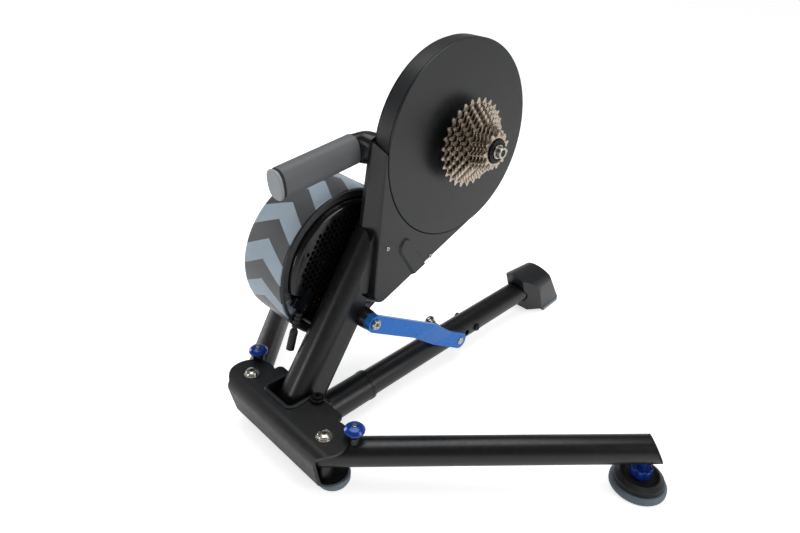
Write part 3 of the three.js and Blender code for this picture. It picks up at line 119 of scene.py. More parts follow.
def place_along(start: Sequence[float], direction: Sequence[float], across: Sequence[float]) -> Matrix:
    """Stands a drawing plane square to any direction.

    Args:
        start: the plane's middle in the design, in millimetres.
        direction: the way that the piece is built.
        across: the way of the outline's first axis.

    Returns:
        A matrix from millimetres in that plane to the frame's metres.
    """
    along = Vector(direction).normalized()
    first = (Vector(across) - along * along.dot(Vector(across))).normalized()
    turn = Matrix((first, along.cross(first), along)).transposed().to_4x4()
    return Matrix.Translation(DATUM) @ Matrix.Scale(MM, 4) @ Matrix.Translation(start) @ turn


def spot(x: float, y: float, z: float) -> Vector:
    """A place given in the design's millimetres, in the frame's metres."""
    return DATUM + Vector((x, y, z)) * MM


def arc(
    u: float, v: float, radius: float, start: float = 0.0, end: float = FULL_TURN, steps: int = ROUND
) -> Outline:
    """Draws a circle, or an arc from one angle to another.

    Args:
        u: the middle's first place.
        v: the middle's second place.
        radius: its radius.
        start: the angle that it starts at.
        end: the angle that it ends at.
        steps: the number of straight steps.

    Returns:
        The points, without the last one where the arc closes on itself.
    """
    closed = abs(end - start - FULL_TURN) < 1e-9
    return [
        (
            u + radius * math.cos(start + (end - start) * k / steps),
            v + radius * math.sin(start + (end - start) * k / steps),
        )
        for k in range(steps if closed else steps + 1)
    ]


def rounded(corners: Sequence[Sequence[float]], steps: int = CORNER, closed: bool = True) -> Outline:
    """Rounds the corners of an outline or profile.

    Args:
        corners: points (u, v) or (u, v, radius); those with a radius become arcs.
        steps: the number of straight steps in each arc.
        closed: whether the last corner leads back to the first.

    Returns:
        The outline's points.
    """
    points: Outline = []
    count = len(corners)
    for i, corner in enumerate(corners):
        here = Vector(corner[:2])
        radius = corner[2] if len(corner) > 2 else 0.0
        if not radius or (not closed and i in (0, count - 1)):
            points.append((here.x, here.y))
            continue
        before = (Vector(corners[i - 1][:2]) - here).normalized()
        after = (Vector(corners[(i + 1) % count][:2]) - here).normalized()
        half = math.acos(max(-1.0, min(1.0, before.dot(after)))) / 2
        middle = here + (before + after).normalized() * (radius / math.sin(half))
        first = here + before * (radius / math.tan(half)) - middle
        last = here + after * (radius / math.tan(half)) - middle
        turn = math.atan2(first.x * last.y - first.y * last.x, first.dot(last))
        for k in range(steps + 1):
            point = Matrix.Rotation(turn * k / steps, 2) @ first + middle
            points.append((point.x, point.y))
    return points


def oblong(
    left: float, low: float, right: float, high: float, radius: float = 0.0, steps: int = CORNER
) -> Outline:
    """Draws an oblong, with square or round corners.

    Args:
        left: its least first place.
        low: its least second place.
        right: its greatest first place.
        high: its greatest second place.
        radius: the corners' radius.
        steps: the number of straight steps in each corner.

    Returns:
        The outline's points.
    """
    corners = ((left, low), (right, low), (right, high), (left, high))
    return rounded([(*corner, radius) for corner in corners], steps)


def strap(first: Sequence[float], last: Sequence[float], steps: int = ROUND) -> Outline:
    """Draws a strap tight around two circles.

    Args:
        first: the first circle's middle and radius.
        last: the last circle's middle and radius.
        steps: the number of straight steps round each end.

    Returns:
        The outline's points.
    """
    (u1, v1, r1), (u2, v2, r2) = first, last
    along = math.atan2(v2 - v1, u2 - u1)
    spread = math.acos((r1 - r2) / math.hypot(u2 - u1, v2 - v1))
    return arc(u1, v1, r1, along + spread, along - spread + FULL_TURN, steps) + arc(
        u2, v2, r2, along - spread, along + spread, steps // 2
    )


def flattened(half_u: float, half_v: float, fullness: float, steps: int = ROUND) -> Outline:
    """Draws an oval with flattened sides: fullness 2 is an ellipse, more is squarer."""
    power = 2 / fullness
    return [
        (math.copysign(abs(u) ** power * half_u, u), math.copysign(abs(v) ** power * half_v, v))
        for u, v in arc(0, 0, 1, steps=steps)
    ]


def starred(radius: float, notch_at: float, notch: float, count: int) -> Outline:
    """Draws a circle with round notches in its edge.

    Args:
        radius: the circle's radius.
        notch_at: how far out the notches' middles lie.
        notch: the notches' radius.
        count: the number of notches.

    Returns:
        The outline's points.
    """
    reach = (radius**2 + notch_at**2 - notch**2) / (2 * radius * notch_at)
    half = math.acos(reach)
    inner = math.acos((notch_at**2 + notch**2 - radius**2) / (2 * notch_at * notch))
    points: Outline = []
    for k in range(count):
        angle = FULL_TURN * k / count
        middle = (notch_at * math.cos(angle), notch_at * math.sin(angle))
        inwards = angle + math.pi
        points += reversed(arc(*middle, notch, inwards - inner, inwards + inner, CORNER))
        points += arc(0, 0, radius, angle + half, angle + FULL_TURN / count - half, CORNER)[1:-1]
    return points


class Bench:
    """Hand modelling moves, each made with the operators that a modeller uses."""

    @staticmethod
    def clear() -> None:
        """Leaves edit mode and selects nothing."""
        if bpy.context.object and bpy.context.object.mode != "OBJECT":
            bpy.ops.object.mode_set(mode="OBJECT")
        bpy.ops.object.select_all(action="DESELECT")

    @staticmethod
    def pick(piece: Piece, *others: Piece) -> None:
        """Selects some pieces and makes the first one active."""
        Bench.clear()
        for one in (piece, *others):
            one.select_set(True)
        bpy.context.view_layer.objects.active = piece

    @staticmethod
    def trace(name: str, points: Sequence[Vector]) -> Piece:
        """Draws a line as one vertex extruded from each point to the next.

        Args:
            name: the piece's name.
            points: the places that the line passes, in metres.

        Returns:
            The piece, in edit mode.
        """
        Bench.clear()
        bpy.ops.mesh.primitive_plane_add(size=MM, location=points[0])
        bpy.ops.object.transform_apply(location=True, rotation=True, scale=True)
        piece = bpy.context.object
        piece.name = piece.data.name = name
        bpy.ops.object.mode_set(mode="EDIT")
        bpy.ops.mesh.select_all(action="SELECT")
        bpy.ops.mesh.merge(type="CENTER")
        Bench.run_on(points)
        return piece

    @staticmethod
    def run_on(points: Sequence[Vector]) -> None:
        """Extrudes the selected vertex from the first point through the others."""
        for here, there in zip(points, points[1:]):
            bpy.ops.mesh.extrude_vertices_move(TRANSFORM_OT_translate={"value": there - here})

    @staticmethod
    def shut(face: bool = True) -> None:
        """Closes the traced line on itself, with or without a face in it."""
        bpy.ops.mesh.select_all(action="SELECT")
        bpy.ops.mesh.edge_face_add()
        if not face:
            bpy.ops.mesh.delete(type="ONLY_FACE")
            bpy.ops.mesh.select_all(action="SELECT")

    @staticmethod
    def tidy(merge: float = 0.004) -> None:
        """Merges doubled points and turns the faces outwards, then leaves edit mode."""
        bpy.ops.mesh.select_all(action="SELECT")
        bpy.ops.mesh.remove_doubles(threshold=merge * MM)
        bpy.ops.mesh.normals_make_consistent(inside=False)
        bpy.ops.object.mode_set(mode="OBJECT")

    @staticmethod
    def apply(piece: Piece, kind: str, **settings: object) -> None:
        """Adds a modifier, sets it and applies it.

        Args:
            piece: the piece to change.
            kind: the modifier's type.
            settings: the modifier's own properties.
        """
        Bench.pick(piece)
        bpy.ops.object.modifier_add(type=kind)
        modifier = piece.modifiers[-1]
        for key, value in settings.items():
            setattr(modifier, key, value)
        bpy.ops.object.modifier_apply(modifier=modifier.name)

    @staticmethod
    def combine(piece: Piece, how: Join, *tools: Piece) -> Piece:
        """Cuts, adds or keeps what tools share with a piece, and clears the tools away.

        Args:
            piece: the piece to change.
            how: the way that the solids are combined.
            tools: the solids to use, removed afterwards.

        Returns:
            The changed piece.
        """
        for tool in tools:
            Bench.apply(piece, "BOOLEAN", operation=how.value, solver="EXACT", object=tool)
            bpy.data.objects.remove(tool)
        return piece

    @staticmethod
    def merge(piece: Piece, *others: Piece) -> Piece:
        """Puts other pieces into one object with the first."""
        Bench.pick(piece, *others)
        bpy.ops.object.join()
        return piece

    @staticmethod
    def soften(piece: Piece, width: float, segments: int = 2, angle: float = 28.0) -> Piece:
        """Rounds every edge sharper than an angle.

        Args:
            piece: the piece to change.
            width: the rounding's width in millimetres.
            segments: the faces across the rounding.
            angle: the least angle of an edge to be rounded, in degrees.

        Returns:
            The changed piece.
        """
        Bench.apply(
            piece, "BEVEL", width=width * MM, segments=segments, limit_method="ANGLE",
            angle_limit=math.radians(angle), miter_outer="MITER_ARC", use_clamp_overlap=True,
        )
        return piece

    @staticmethod
    def polish(piece: Piece, weighted: bool = True) -> Piece:
        """Shades a piece smooth except at its sharp edges."""
        Bench.pick(piece)
        bpy.ops.object.shade_smooth_by_angle(angle=SMOOTH_ANGLE)
        if weighted:
            Bench.apply(piece, "WEIGHTED_NORMAL", keep_sharp=True, weight=50)
        return piece

    @staticmethod
    def mirrored(piece: Piece, name: str) -> Piece:
        """Copies a piece to the other side of the bike's middle plane, with a mesh of its own."""
        Bench.pick(piece)
        bpy.ops.object.duplicate(linked=False)
        twin = bpy.context.object
        twin.name = twin.data.name = name
        bpy.ops.object.mode_set(mode="EDIT")
        bpy.ops.mesh.select_all(action="SELECT")
        bpy.ops.transform.resize(value=(-1, 1, 1), center_override=(0, 0, 0))
        bpy.ops.mesh.normals_make_consistent(inside=False)
        bpy.ops.object.mode_set(mode="OBJECT")
        return twin

    @staticmethod
    def shifted(piece: Piece, name: str, move: Vector) -> Piece:
        """Copies a piece to another place, with a mesh of its own."""
        Bench.pick(piece)
        bpy.ops.object.duplicate(linked=False)
        twin = bpy.context.object
        twin.name = twin.data.name = name
        bpy.ops.object.mode_set(mode="EDIT")
        bpy.ops.mesh.select_all(action="SELECT")
        bpy.ops.transform.translate(value=move)
        bpy.ops.object.mode_set(mode="OBJECT")
        return twin


def loop(where: Matrix, outline: Outline, along: float) -> list[Vector]:
    """An outline's places in metres, at a distance along its plane's own axis."""
    return [where @ Vector((u, v, along)) for u, v in outline]


def slab(name: str, outline: Outline, where: Matrix, low: float, high: float) -> Piece:
    """Makes a flat piece by filling an outline and extruding it.

    Args:
        name: the piece's name.
        outline: its points (u, v) in millimetres.
        where: the drawing plane.
        low: where it starts along the plane's own axis.
        high: where it ends.

    Returns:
        The closed piece.
    """
    piece = Bench.trace(name, loop(where, outline, low))
    Bench.shut()
    travel = where.to_3x3() @ Vector((0, 0, high - low))
    bpy.ops.mesh.extrude_region_move(TRANSFORM_OT_translate={"value": travel})
    Bench.tidy()
    return piece


def rod(name: str, where: Matrix, radius: float, low: float, high: float, steps: int = ROUND) -> Piece:
    """Makes a plain round bar along a plane's own axis."""
    return slab(name, arc(0, 0, radius, steps=steps), where, low, high)


def turned(name: str, profile: Outline, where: Matrix, steps: int = ROUND, shut: bool = False) -> Piece:
    """Makes a round piece by spinning a profile.

    Args:
        name: the piece's name.
        profile: its points (along, radius) in millimetres.
        where: the plane whose own axis it turns about.
        steps: the number of steps round.
        shut: whether the profile is a loop clear of the axis.

    Returns:
        The closed piece.
    """
    piece = Bench.trace(name, [where @ Vector((radius, 0, along)) for along, radius in profile])
    if shut:
        Bench.shut(face=False)
    bpy.ops.mesh.select_all(action="SELECT")
    bpy.ops.mesh.spin(
        steps=steps, angle=FULL_TURN, center=where.translation, axis=where.col[2].xyz.normalized()
    )
    Bench.tidy()
    return piece


def bridged(name: str, first: Sequence[Vector], last: Sequence[Vector], bend: int = 0) -> Piece:
    """Makes a solid between two loops of as many points.

    Args:
        name: the piece's name.
        first: the first loop's places in metres.
        last: the last loop's places in metres.
        bend: the number of rings between them where the solid bends, or 0 for a straight one.

    Returns:
        The closed piece.
    """
    pieces = []
    for loop in (first, last):
        pieces.append(Bench.trace(name, loop))
        Bench.shut(face=False)
        bpy.ops.object.mode_set(mode="OBJECT")
    Bench.merge(*pieces)
    bpy.ops.object.mode_set(mode="EDIT")
    bpy.ops.mesh.select_all(action="SELECT")
    bpy.ops.mesh.bridge_edge_loops(number_cuts=bend, interpolation="SURFACE" if bend else "LINEAR")
    bpy.ops.mesh.select_all(action="SELECT")
    bpy.ops.mesh.fill_holes(sides=0)
    Bench.tidy()
    pieces[0].name = pieces[0].data.name = name
    return pieces[0]


def bore(piece: Piece, where: Matrix, radius: float, low: float, high: float, steps: int = ROUND) -> None:
    """Cuts a round hole along a plane's own axis."""
    Bench.combine(piece, Join.CUT, rod("bore", where, radius, low, high, steps))


def hex_socket(piece: Piece, where: Matrix, across: float, low: float, high: float) -> None:
    """Cuts a hexagon socket of a width across its flats."""
    corners = arc(0, 0, across / math.sqrt(3), steps=6)
    Bench.combine(piece, Join.CUT, slab("socket", corners, where, low, high))


def tint(code: str) -> tuple[float, float, float, float]:
    """Turns a web colour into the linear colour that nodes take."""
    channels = [int(code[i : i + 2], 16) / 255 for i in (1, 3, 5)]
    linear = [c / 12.92 if c <= 0.04045 else ((c + 0.055) / 1.055) ** 2.4 for c in channels]
    return (*linear, 1.0)


class Nodes:
    """A node tree, with short ways to add and join its nodes."""

    def __init__(self, tree: bpy.types.NodeTree) -> None:
        """Empties a tree to fill it anew."""
        self.tree = tree
        self.tree.nodes.clear()

    def add(self, kind: str, **settings: object) -> bpy.types.Node:
        """Adds a node and sets its properties."""
        node = self.tree.nodes.new(kind)
        for key, value in settings.items():
            setattr(node, key, value)
        return node

    def feed(self, socket: bpy.types.NodeSocket, value: object) -> None:
        """Links a socket to another one, or gives it a value."""
        if isinstance(value, bpy.types.NodeSocket):
            self.tree.links.new(value, socket)
        else:
            socket.default_value = value

    def work(self, kind: str, *values: object, **settings: object) -> bpy.types.NodeSocket:
        """Adds a node and feeds its sockets.

        Args:
            kind: the node's type.
            values: the sockets' values or links, in the sockets' order.
            settings: the node's own properties.

        Returns:
            The node's first result.
        """
        node = self.add(kind, **settings)
        for socket, value in zip(node.inputs, values):
            self.feed(socket, value)
        return node.outputs[0]

    def math(self, operation: str, *values: object) -> bpy.types.NodeSocket:
        """Works out one sum and gives its result."""
        return self.work("ShaderNodeMath", *values, operation=operation)

    def spread(
        self, value: object, low: float, high: float, start: float = 0.3, end: float = 0.7
    ) -> bpy.types.NodeSocket:
        """Carries a value from one range, start to end, to another, low to high."""
        return self.work("ShaderNodeMapRange", value, start, end, low, high)


class Recipe(Nodes):
    """A material's node tree, on the piece's own coordinates."""

    def __init__(self, name: str) -> None:
        """Starts a tree with its shader and the piece's own coordinates."""
        self.material = bpy.data.materials.new(name)
        self.material.use_nodes = True
        super().__init__(self.material.node_tree)
        output = self.add("ShaderNodeOutputMaterial")
        self.shader = self.add("ShaderNodeBsdfPrincipled")
        self.feed(output.inputs["Surface"], self.shader.outputs["BSDF"])
        self.place = self.add("ShaderNodeTexCoord").outputs["Object"]

    def about(self, middle: Sequence[float]) -> bpy.types.bpy_prop_collection:
        """The piece's coordinates measured from a middle, as three sockets."""
        moved = self.work("ShaderNodeVectorMath", self.place, middle, operation="SUBTRACT")
        parts = self.add("ShaderNodeSeparateXYZ")
        self.feed(parts.inputs[0], moved)
        return parts.outputs

    def noise(self, scale: float, detail: float = 3.0) -> bpy.types.NodeSocket:
        """Fine or coarse clouds, from 0 to 1."""
        node = self.add("ShaderNodeTexNoise")
        for key, value in (("Vector", self.place), ("Scale", scale), ("Detail", detail)):
            self.feed(node.inputs[key], value)
        return node.outputs["Fac"]

    def blend(self, share: object, first: object, second: object) -> bpy.types.NodeSocket:
        """Mixes two colours."""
        node = self.add("ShaderNodeMix", data_type="RGBA")
        for key, value in (("Factor", share), (6, first), (7, second)):
            self.feed(node.inputs[key], value)
        return node.outputs[2]

    def bump(self, height: bpy.types.NodeSocket, strength: float, distance: float) -> bpy.types.NodeSocket:
        """Turns a height into small relief, its depth in millimetres."""
        node = self.add("ShaderNodeBump")
        for key, value in (("Height", height), ("Strength", strength), ("Distance", distance * MM)):
            self.feed(node.inputs[key], value)
        return node.outputs[0]


@dataclass(frozen=True)
class Finish:
    """A surface: two close colours, its gloss and its fine relief."""

    slot: str
    name: str
    colour: str
    second: str
    roughness: float
    metallic: float = 0.0
    coat: float = 0.0
    grain: float = 1800.0
    relief: float = 0.15
    depth: float = 0.05
    clouds: float = 22.0
    uneven: float = 0.05

    def colours(self, nodes: Recipe) -> bpy.types.NodeSocket:
        """Lets the two colours drift into each other."""
        return nodes.blend(
            nodes.spread(nodes.noise(self.clouds, 4.0), 0.0, 1.0), tint(self.colour), tint(self.second)
        )

    def relief_of(self, nodes: Recipe) -> bpy.types.NodeSocket:
        """Gives the fine grain of the surface."""
        return nodes.bump(nodes.noise(self.grain, 2.0), self.relief, self.depth)

    def gloss(self, nodes: Recipe) -> bpy.types.NodeSocket:
        """Lets the roughness wander a little."""
        low, high = self.roughness - self.uneven, self.roughness + self.uneven
        return nodes.spread(nodes.noise(self.grain / 9, 3.0), low, high)

    def material(self) -> bpy.types.Material:
        """Makes the material, once for each finish."""
        known = bpy.data.materials.get(self.name)
        if known:
            return known
        nodes = Recipe(self.name)
        shader = nodes.shader
        nodes.feed(shader.inputs["Base Color"], self.colours(nodes))
        nodes.feed(shader.inputs["Roughness"], self.gloss(nodes))
        nodes.feed(shader.inputs["Normal"], self.relief_of(nodes))
        shader.inputs["Metallic"].default_value = self.metallic
        shader.inputs["Coat Weight"].default_value = self.coat
        shader.inputs["Coat Roughness"].default_value = 0.08
        return nodes.material


@dataclass(frozen=True)
class ChevronFinish(Finish):
    """Two-tone paint in chevrons round a drum that turns about X."""

    middle: tuple[float, float, float] = (0.0, 0.0, 0.0)
    pairs: int = 12
    slope: float = 0.31
    start: float = 121.2
    light: str = "#97a6b2"
    light_second: str = "#8d9ca8"

    def colours(self, nodes: Recipe) -> bpy.types.NodeSocket:
        """Lays pale bands whose points lie on the middle of the drum's face."""
        across, forwards, up = nodes.about(self.middle)
        angle = nodes.math("ARCTAN2", up, forwards)
        lean = nodes.math("MULTIPLY", nodes.math("ABSOLUTE", across), -math.radians(self.slope) / MM)
        place_in = nodes.math("ADD", nodes.math("ADD", angle, lean), FULL_TURN - math.radians(self.start))
        turn = nodes.math("FRACT", nodes.math("MULTIPLY", place_in, self.pairs / FULL_TURN))
        band = nodes.math("LESS_THAN", turn, 0.5)
        drift = nodes.spread(nodes.noise(self.clouds, 4.0), 0.0, 1.0)
        dark = nodes.blend(drift, tint(self.colour), tint(self.second))
        pale = nodes.blend(drift, tint(self.light), tint(self.light_second))
        return nodes.blend(band, dark, pale)


@dataclass(frozen=True)
class KnurlFinish(Finish):
    """A surface with a diamond knurl round an upright axis."""

    middle: tuple[float, float, float] = (0.0, 0.0, 0.0)
    count: int = 110
    climb: float = 620.0
    lift: float = 500.0

    def relief_of(self, nodes: Recipe) -> bpy.types.NodeSocket:
        """Crosses two sets of slanting grooves."""
        across, forwards, up = nodes.about(self.middle)
        angle = nodes.math("MULTIPLY", nodes.math("ARCTAN2", forwards, across), self.count / FULL_TURN)
        rise = nodes.math("MULTIPLY", up, self.climb)
        crossed = [nodes.math(way, angle, rise) for way in ("ADD", "SUBTRACT")]
        grooves = [nodes.math("PINGPONG", nodes.math("ADD", way, self.lift), 0.5) for way in crossed]
        return nodes.bump(nodes.math("MINIMUM", *grooves), self.relief, self.depth)


POWDER = Finish(
    "powder_coat", "satin_powder_coat", "#0b0c0e", "#0f1012", 0.33, grain=1500, relief=0.1, depth=0.04
)
TEXTURED = Finish(
    "powder_coat", "matt_powder_coat", "#0c0d0f", "#111214", 0.42, grain=1300, relief=0.22, depth=0.06
)
COVER = Finish(
    "cover_plastic", "satin_cover_plastic", "#1d1e20", "#212224", 0.37, grain=2600, relief=0.1, depth=0.03
)
GLOSS = Finish(
    "gloss_plastic", "gloss_black_plastic", "#08090b", "#0b0c0f", 0.16, grain=900, relief=0.03, uneven=0.03
)
BLUE_METAL = Finish(
    "blue_coat", "blue_anodised_metal", "#2470c6", "#2874cc", 0.3, metallic=0.6, grain=2600, relief=0.04,
    depth=0.02,
)
BLUE_KNOB = Finish(
    "blue_plastic", "deep_blue_knob", "#0b3488", "#0d3a96", 0.26, metallic=0.25, coat=0.3, relief=0.04
)
STAINLESS = Finish(
    "stainless", "stainless_steel", "#b4b0a8", "#c2beb6", 0.24, metallic=1.0, grain=900, relief=0.05
)
NICKEL = Finish(
    "nickel", "nickel_plate", "#b3a697", "#c8bcae", 0.3, metallic=1.0, grain=700, relief=0.08, clouds=60
)
DARK_STEEL = Finish("dark_steel", "black_oxide_steel", "#1c1d1f", "#242528", 0.36, metallic=0.7, grain=1200)
FOOT_RUBBER = Finish("foot_rubber", "grey_foot_rubber", "#707d86", "#78858e", 0.55, grain=2200, relief=0.2)
DARK_RUBBER = Finish("dark_rubber", "black_rubber", "#141516", "#1a1b1c", 0.6, grain=2200, relief=0.2)
GRIP = Finish(
    "grip_rubber", "grey_grip_rubber", "#5b5d5e", "#616364", 0.58, grain=3000, relief=0.25, depth=0.06
)
CAP = Finish("cap_plastic", "pale_cap_plastic", "#8f969a", "#979ea2", 0.42, grain=2400)
BRAKE = Finish("copper", "varnished_copper", "#6b3d24", "#7d482a", 0.4, metallic=0.8, grain=500, relief=0.3)
BELT = Finish("dark_rubber", "belt_rubber", "#101011", "#161617", 0.7, grain=1600, relief=0.3)


@dataclass
class Fitting:
    """One finished piece with the body that it rides on, the nodes it stands for and its finish."""

    piece: Piece
    body: str
    finish: Finish
    nodes: tuple[str, ...] = ()


@dataclass
class SubAssembly:
    """Some pieces that belong together."""

    fittings: list[Fitting] = field(default_factory=list, init=False)

    def fit(self, piece: Piece, body: str, finish: Finish, *nodes: str) -> Piece:
        """Notes a finished piece.

        Args:
            piece: the mesh.
            body: the CAD body that carries it.
            finish: its surface.
            nodes: the CAD nodes that it stands for.

        Returns:
            The same piece.
        """
        self.fittings.append(Fitting(piece, body, finish, nodes))
        return piece

    def build(self) -> None:
        """Makes the meshes."""
        raise NotImplementedError

    def dress(self) -> None:
        """Gives each piece its finish and its body, and hides the nodes that it replaces."""
        for fitting in self.fittings:
            piece = fitting.piece
            piece.data.materials.clear()
            piece.data.materials.append(fitting.finish.material())
            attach(piece, fitting.body)
            if fitting.nodes:
                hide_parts(*fitting.nodes)
            LOG.info("%s: %d faces, rides on %s", piece.name, len(piece.data.polygons), fitting.body)


@dataclass
class Bracket(SubAssembly):
    """The bent steel bracket with its bolts and pads."""

    top: float = 69.0
    bottom: float = 12.0
    sheet: float = 4.0
    rear_top: float = -31.0
    rear_bottom: float = -16.0
    top_bend: float = 14.0
    bottom_bend: float = 7.0
    front: float = 38.0
    front_half: float = 62.0
    pivot: float = LEG_PIVOT
    lobe: float = 29.5
    low_lobe: float = 24.0
    low_lobe_x: float = 70.0
    low_lobe_y: float = 8.0
    slot_left: float = -38.5
    slot_right: float = 9.5
    slot_rear: float = -2.0
    slot_corner: float = 6.0
    lip_rise: float = 2.5
    lip_width: float = 4.0
    cheek: float = 4.0
    cheek_front: float = 56.0
    cheek_rear: float = -12.0
    join_top: float = 47.0
    flange: float = 4.0
    edge: float = 0.8
    pad_x: float = 74.0
    pad_y: float = 12.0
    pad_radius: float = 21.0
    lock_x: float = 19.5
    lock_y: float = 32.0
    post_y: float = POST_Y
    post_z: float = POST_Z

    def section(self, inset: float, front: float) -> Outline:
        """The bent sheet's outline seen from the side, shrunk by an inset."""
        top, bottom = self.top - inset, self.bottom + inset
        lean = (self.rear_bottom - self.rear_top) / (self.top - self.bottom)
        return rounded([
            (front, bottom),
            (front, top),
            (self.rear_top + inset + lean * inset, top, self.top_bend - inset),
            (self.rear_bottom + inset - lean * inset, bottom, self.bottom_bend - inset),
        ])

    def plan(self, z: float) -> list[Vector]:
        """The bracket's loop at a height: two round lobes, narrower below, beside a straight middle."""
        share = (z - self.bottom) / (self.top - self.bottom)
        lobe_x = self.low_lobe_x + (self.pivot - self.low_lobe_x) * share
        lobe_y, lobe = self.low_lobe_y * (1 - share), self.low_lobe + (self.lobe - self.low_lobe) * share
        leave, meet = -math.radians(60), math.acos((self.front_half - lobe_x) / lobe)
        right = [(lobe_x + lobe * math.cos(leave), self.rear_top - OVERRUN)]
        right += arc(lobe_x, lobe_y, lobe, leave, meet, ROUND_SMALL)
        right += rounded(
            [(self.front_half, 0), (self.front_half, self.front, self.slot_corner), (0, self.front)]
        )[1:-1]
        return [spot(x, y, z) for x, y in right + [(-x, y) for x, y in reversed(right)]]

    def slot(self, grow: float) -> Outline:
        """The outline of the slot that the post stands in."""
        past = 0 if grow else OVERRUN
        return rounded([
            (self.slot_left - grow, self.slot_rear - grow, self.slot_corner + grow),
            (self.slot_right + grow, self.slot_rear - grow, self.slot_corner + grow),
            (self.slot_right + grow, self.front + past),
            (self.slot_left - grow, self.front + past),
        ])

    def shell(self) -> None:
        """Bends the sheet, trims it and adds the lip, cheeks and plates."""
        reach = self.pivot + self.lobe
        across, up = place(Axis.X), place(Axis.Z)
        body = slab("base_bracket", self.section(0, self.front), across, -reach, reach)
        hollow = self.section(self.sheet, self.front + OVERRUN)
        Bench.combine(body, Join.CUT, slab("inside", hollow, across, -reach - OVERRUN, reach + OVERRUN))
        plan = bridged("plan", self.plan(self.bottom - OVERRUN), self.plan(self.top + OVERRUN))
        Bench.combine(body, Join.KEEP, plan)
        lip = slab("lip", self.slot(self.lip_width), up, self.top - self.sheet, self.top + self.lip_rise)
        Bench.soften(lip, 1.6, 4)
        cheek = rounded([
            (self.cheek_rear, self.bottom + 1),
            (self.cheek_front, self.bottom + 1),
            (self.cheek_front, self.join_top, self.slot_corner),
            (self.front, self.top - 1),
            (self.rear_top + self.top_bend, self.top - 1),
        ])
        left, right = self.slot_left - self.cheek, self.slot_right + self.cheek
        cheeks = [slab("cheek", cheek, across, x, x + self.cheek) for x in (left, self.slot_right)]
        join_plate = slab(
            "join_plate", oblong(self.bottom, left, self.join_top, right), place(Axis.Y),
            self.cheek_front - 1, self.cheek_front + self.flange,
        )
        floor = slab(
            "floor_plate", oblong(left, self.front - 1, right, self.cheek_front), up,
            self.bottom, self.bottom + self.sheet,
        )
        Bench.combine(body, Join.ADD, lip, *cheeks, join_plate, floor)
        low, high = self.top - self.sheet - OVERRUN, self.top + OVERRUN * 2
        Bench.combine(body, Join.CUT, slab("slot", self.slot(0), up, low, high))
        Bench.soften(body, self.edge, 3)
        self.fit(Bench.polish(body), "base", TEXTURED, "base_bracket")

    def bolts(self) -> None:
        """Turns the two pivot bolts, the lock bolt and the post's pivot bolt."""
        where = place(Axis.Z, self.pivot, 0)
        bolt = turned("leg_bolt_right", rounded([
            (8, 0), (8, 8, 0.4), (11.7, 8, 0.4), (11.7, 6), (self.top + 0.3, 6),
            (self.top + 0.3, 9.6, 0.3), (self.top + 1.5, 9.6, 0.3), (self.top + 1.5, 8.3, 0.1),
            (self.top + 2.6, 8.4, 0.6), (self.top + 5, 7.2, 1.6), (self.top + 6.4, 4, 1.2),
            (self.top + 6.5, 0),
        ], 4, False), where)
        hex_socket(bolt, where, 5, self.top + 3, self.top + 8)
        Bench.soften(bolt, 0.25, 2, 40)
        Bench.polish(bolt)
        self.fit(bolt, "base", STAINLESS, "leg_bolt_right")
        self.fit(Bench.mirrored(bolt, "leg_bolt_left"), "base", STAINLESS, "leg_bolt_left")

        where = place(Axis.Z, self.lock_x, self.lock_y)
        high = self.top + self.lip_rise
        lock = turned("lock_bolt", rounded([
            (self.top - 4, 0), (self.top - 4, 4.2), (high + 0.3, 4.2), (high + 0.3, 9, 0.6),
            (high + 2.2, 9, 0.6), (high + 2.2, 6.4, 0.4), (high + 1.2, 5.8, 0.3), (high + 1.2, 5.4),
            (high + 4.6, 5.4, 0.7), (high + 4.6, 0),
        ], 4, False), where, ROUND_SMALL)
        hex_socket(lock, where, 5, high + 2, high + 6)
        self.fit(Bench.polish(lock), "base", DARK_STEEL, "lock_bolt")

        where = place(Axis.X, self.post_y, self.post_z)
        left, right = self.slot_left - self.cheek - SEAT, self.slot_right + self.cheek + SEAT
        head = arc(0, 0, 10, steps=6)
        pivot = slab("post_pivot_bolt", head, where, left - 5, left)
        nut = slab("nut", head, where, right, right + 5)
        Bench.combine(pivot, Join.ADD, nut, rod("shank", where, 6, left - 1, right + 1, ROUND_SMALL))
        Bench.soften(pivot, 0.5)
        self.fit(Bench.polish(pivot), "base", STAINLESS, "post_pivot_bolt")

    def pads(self) -> None:
        """Turns the rubber pads under the bracket."""
        pad = turned("base_pad_right", rounded([
            (0, 0), (0, self.pad_radius - 2.2, 0.6), (4.6, self.pad_radius, 1.2), (7.4, self.pad_radius, 0.5),
            (7.8, self.pad_radius - 0.7, 0.2), (8.3, self.pad_radius - 0.7, 0.2), (8.7, self.pad_radius, 0.5),
            (self.bottom - SEAT, self.pad_radius, 0.8), (self.bottom - SEAT, 0),
        ], 4, False), place(Axis.Z, self.pad_x, self.pad_y))
        bore(pad, place(Axis.Z, self.pivot, 0), 8.3, 7.7, self.bottom + 1, ROUND_SMALL)
        self.fit(Bench.polish(pad), "base", FOOT_RUBBER, "base_pad_right")
        self.fit(Bench.mirrored(pad, "base_pad_left"), "base", FOOT_RUBBER, "base_pad_left")

    def build(self) -> None:
        """Makes the bracket, its bolts and its pads."""
        self.shell()
        self.bolts()
        self.pads()


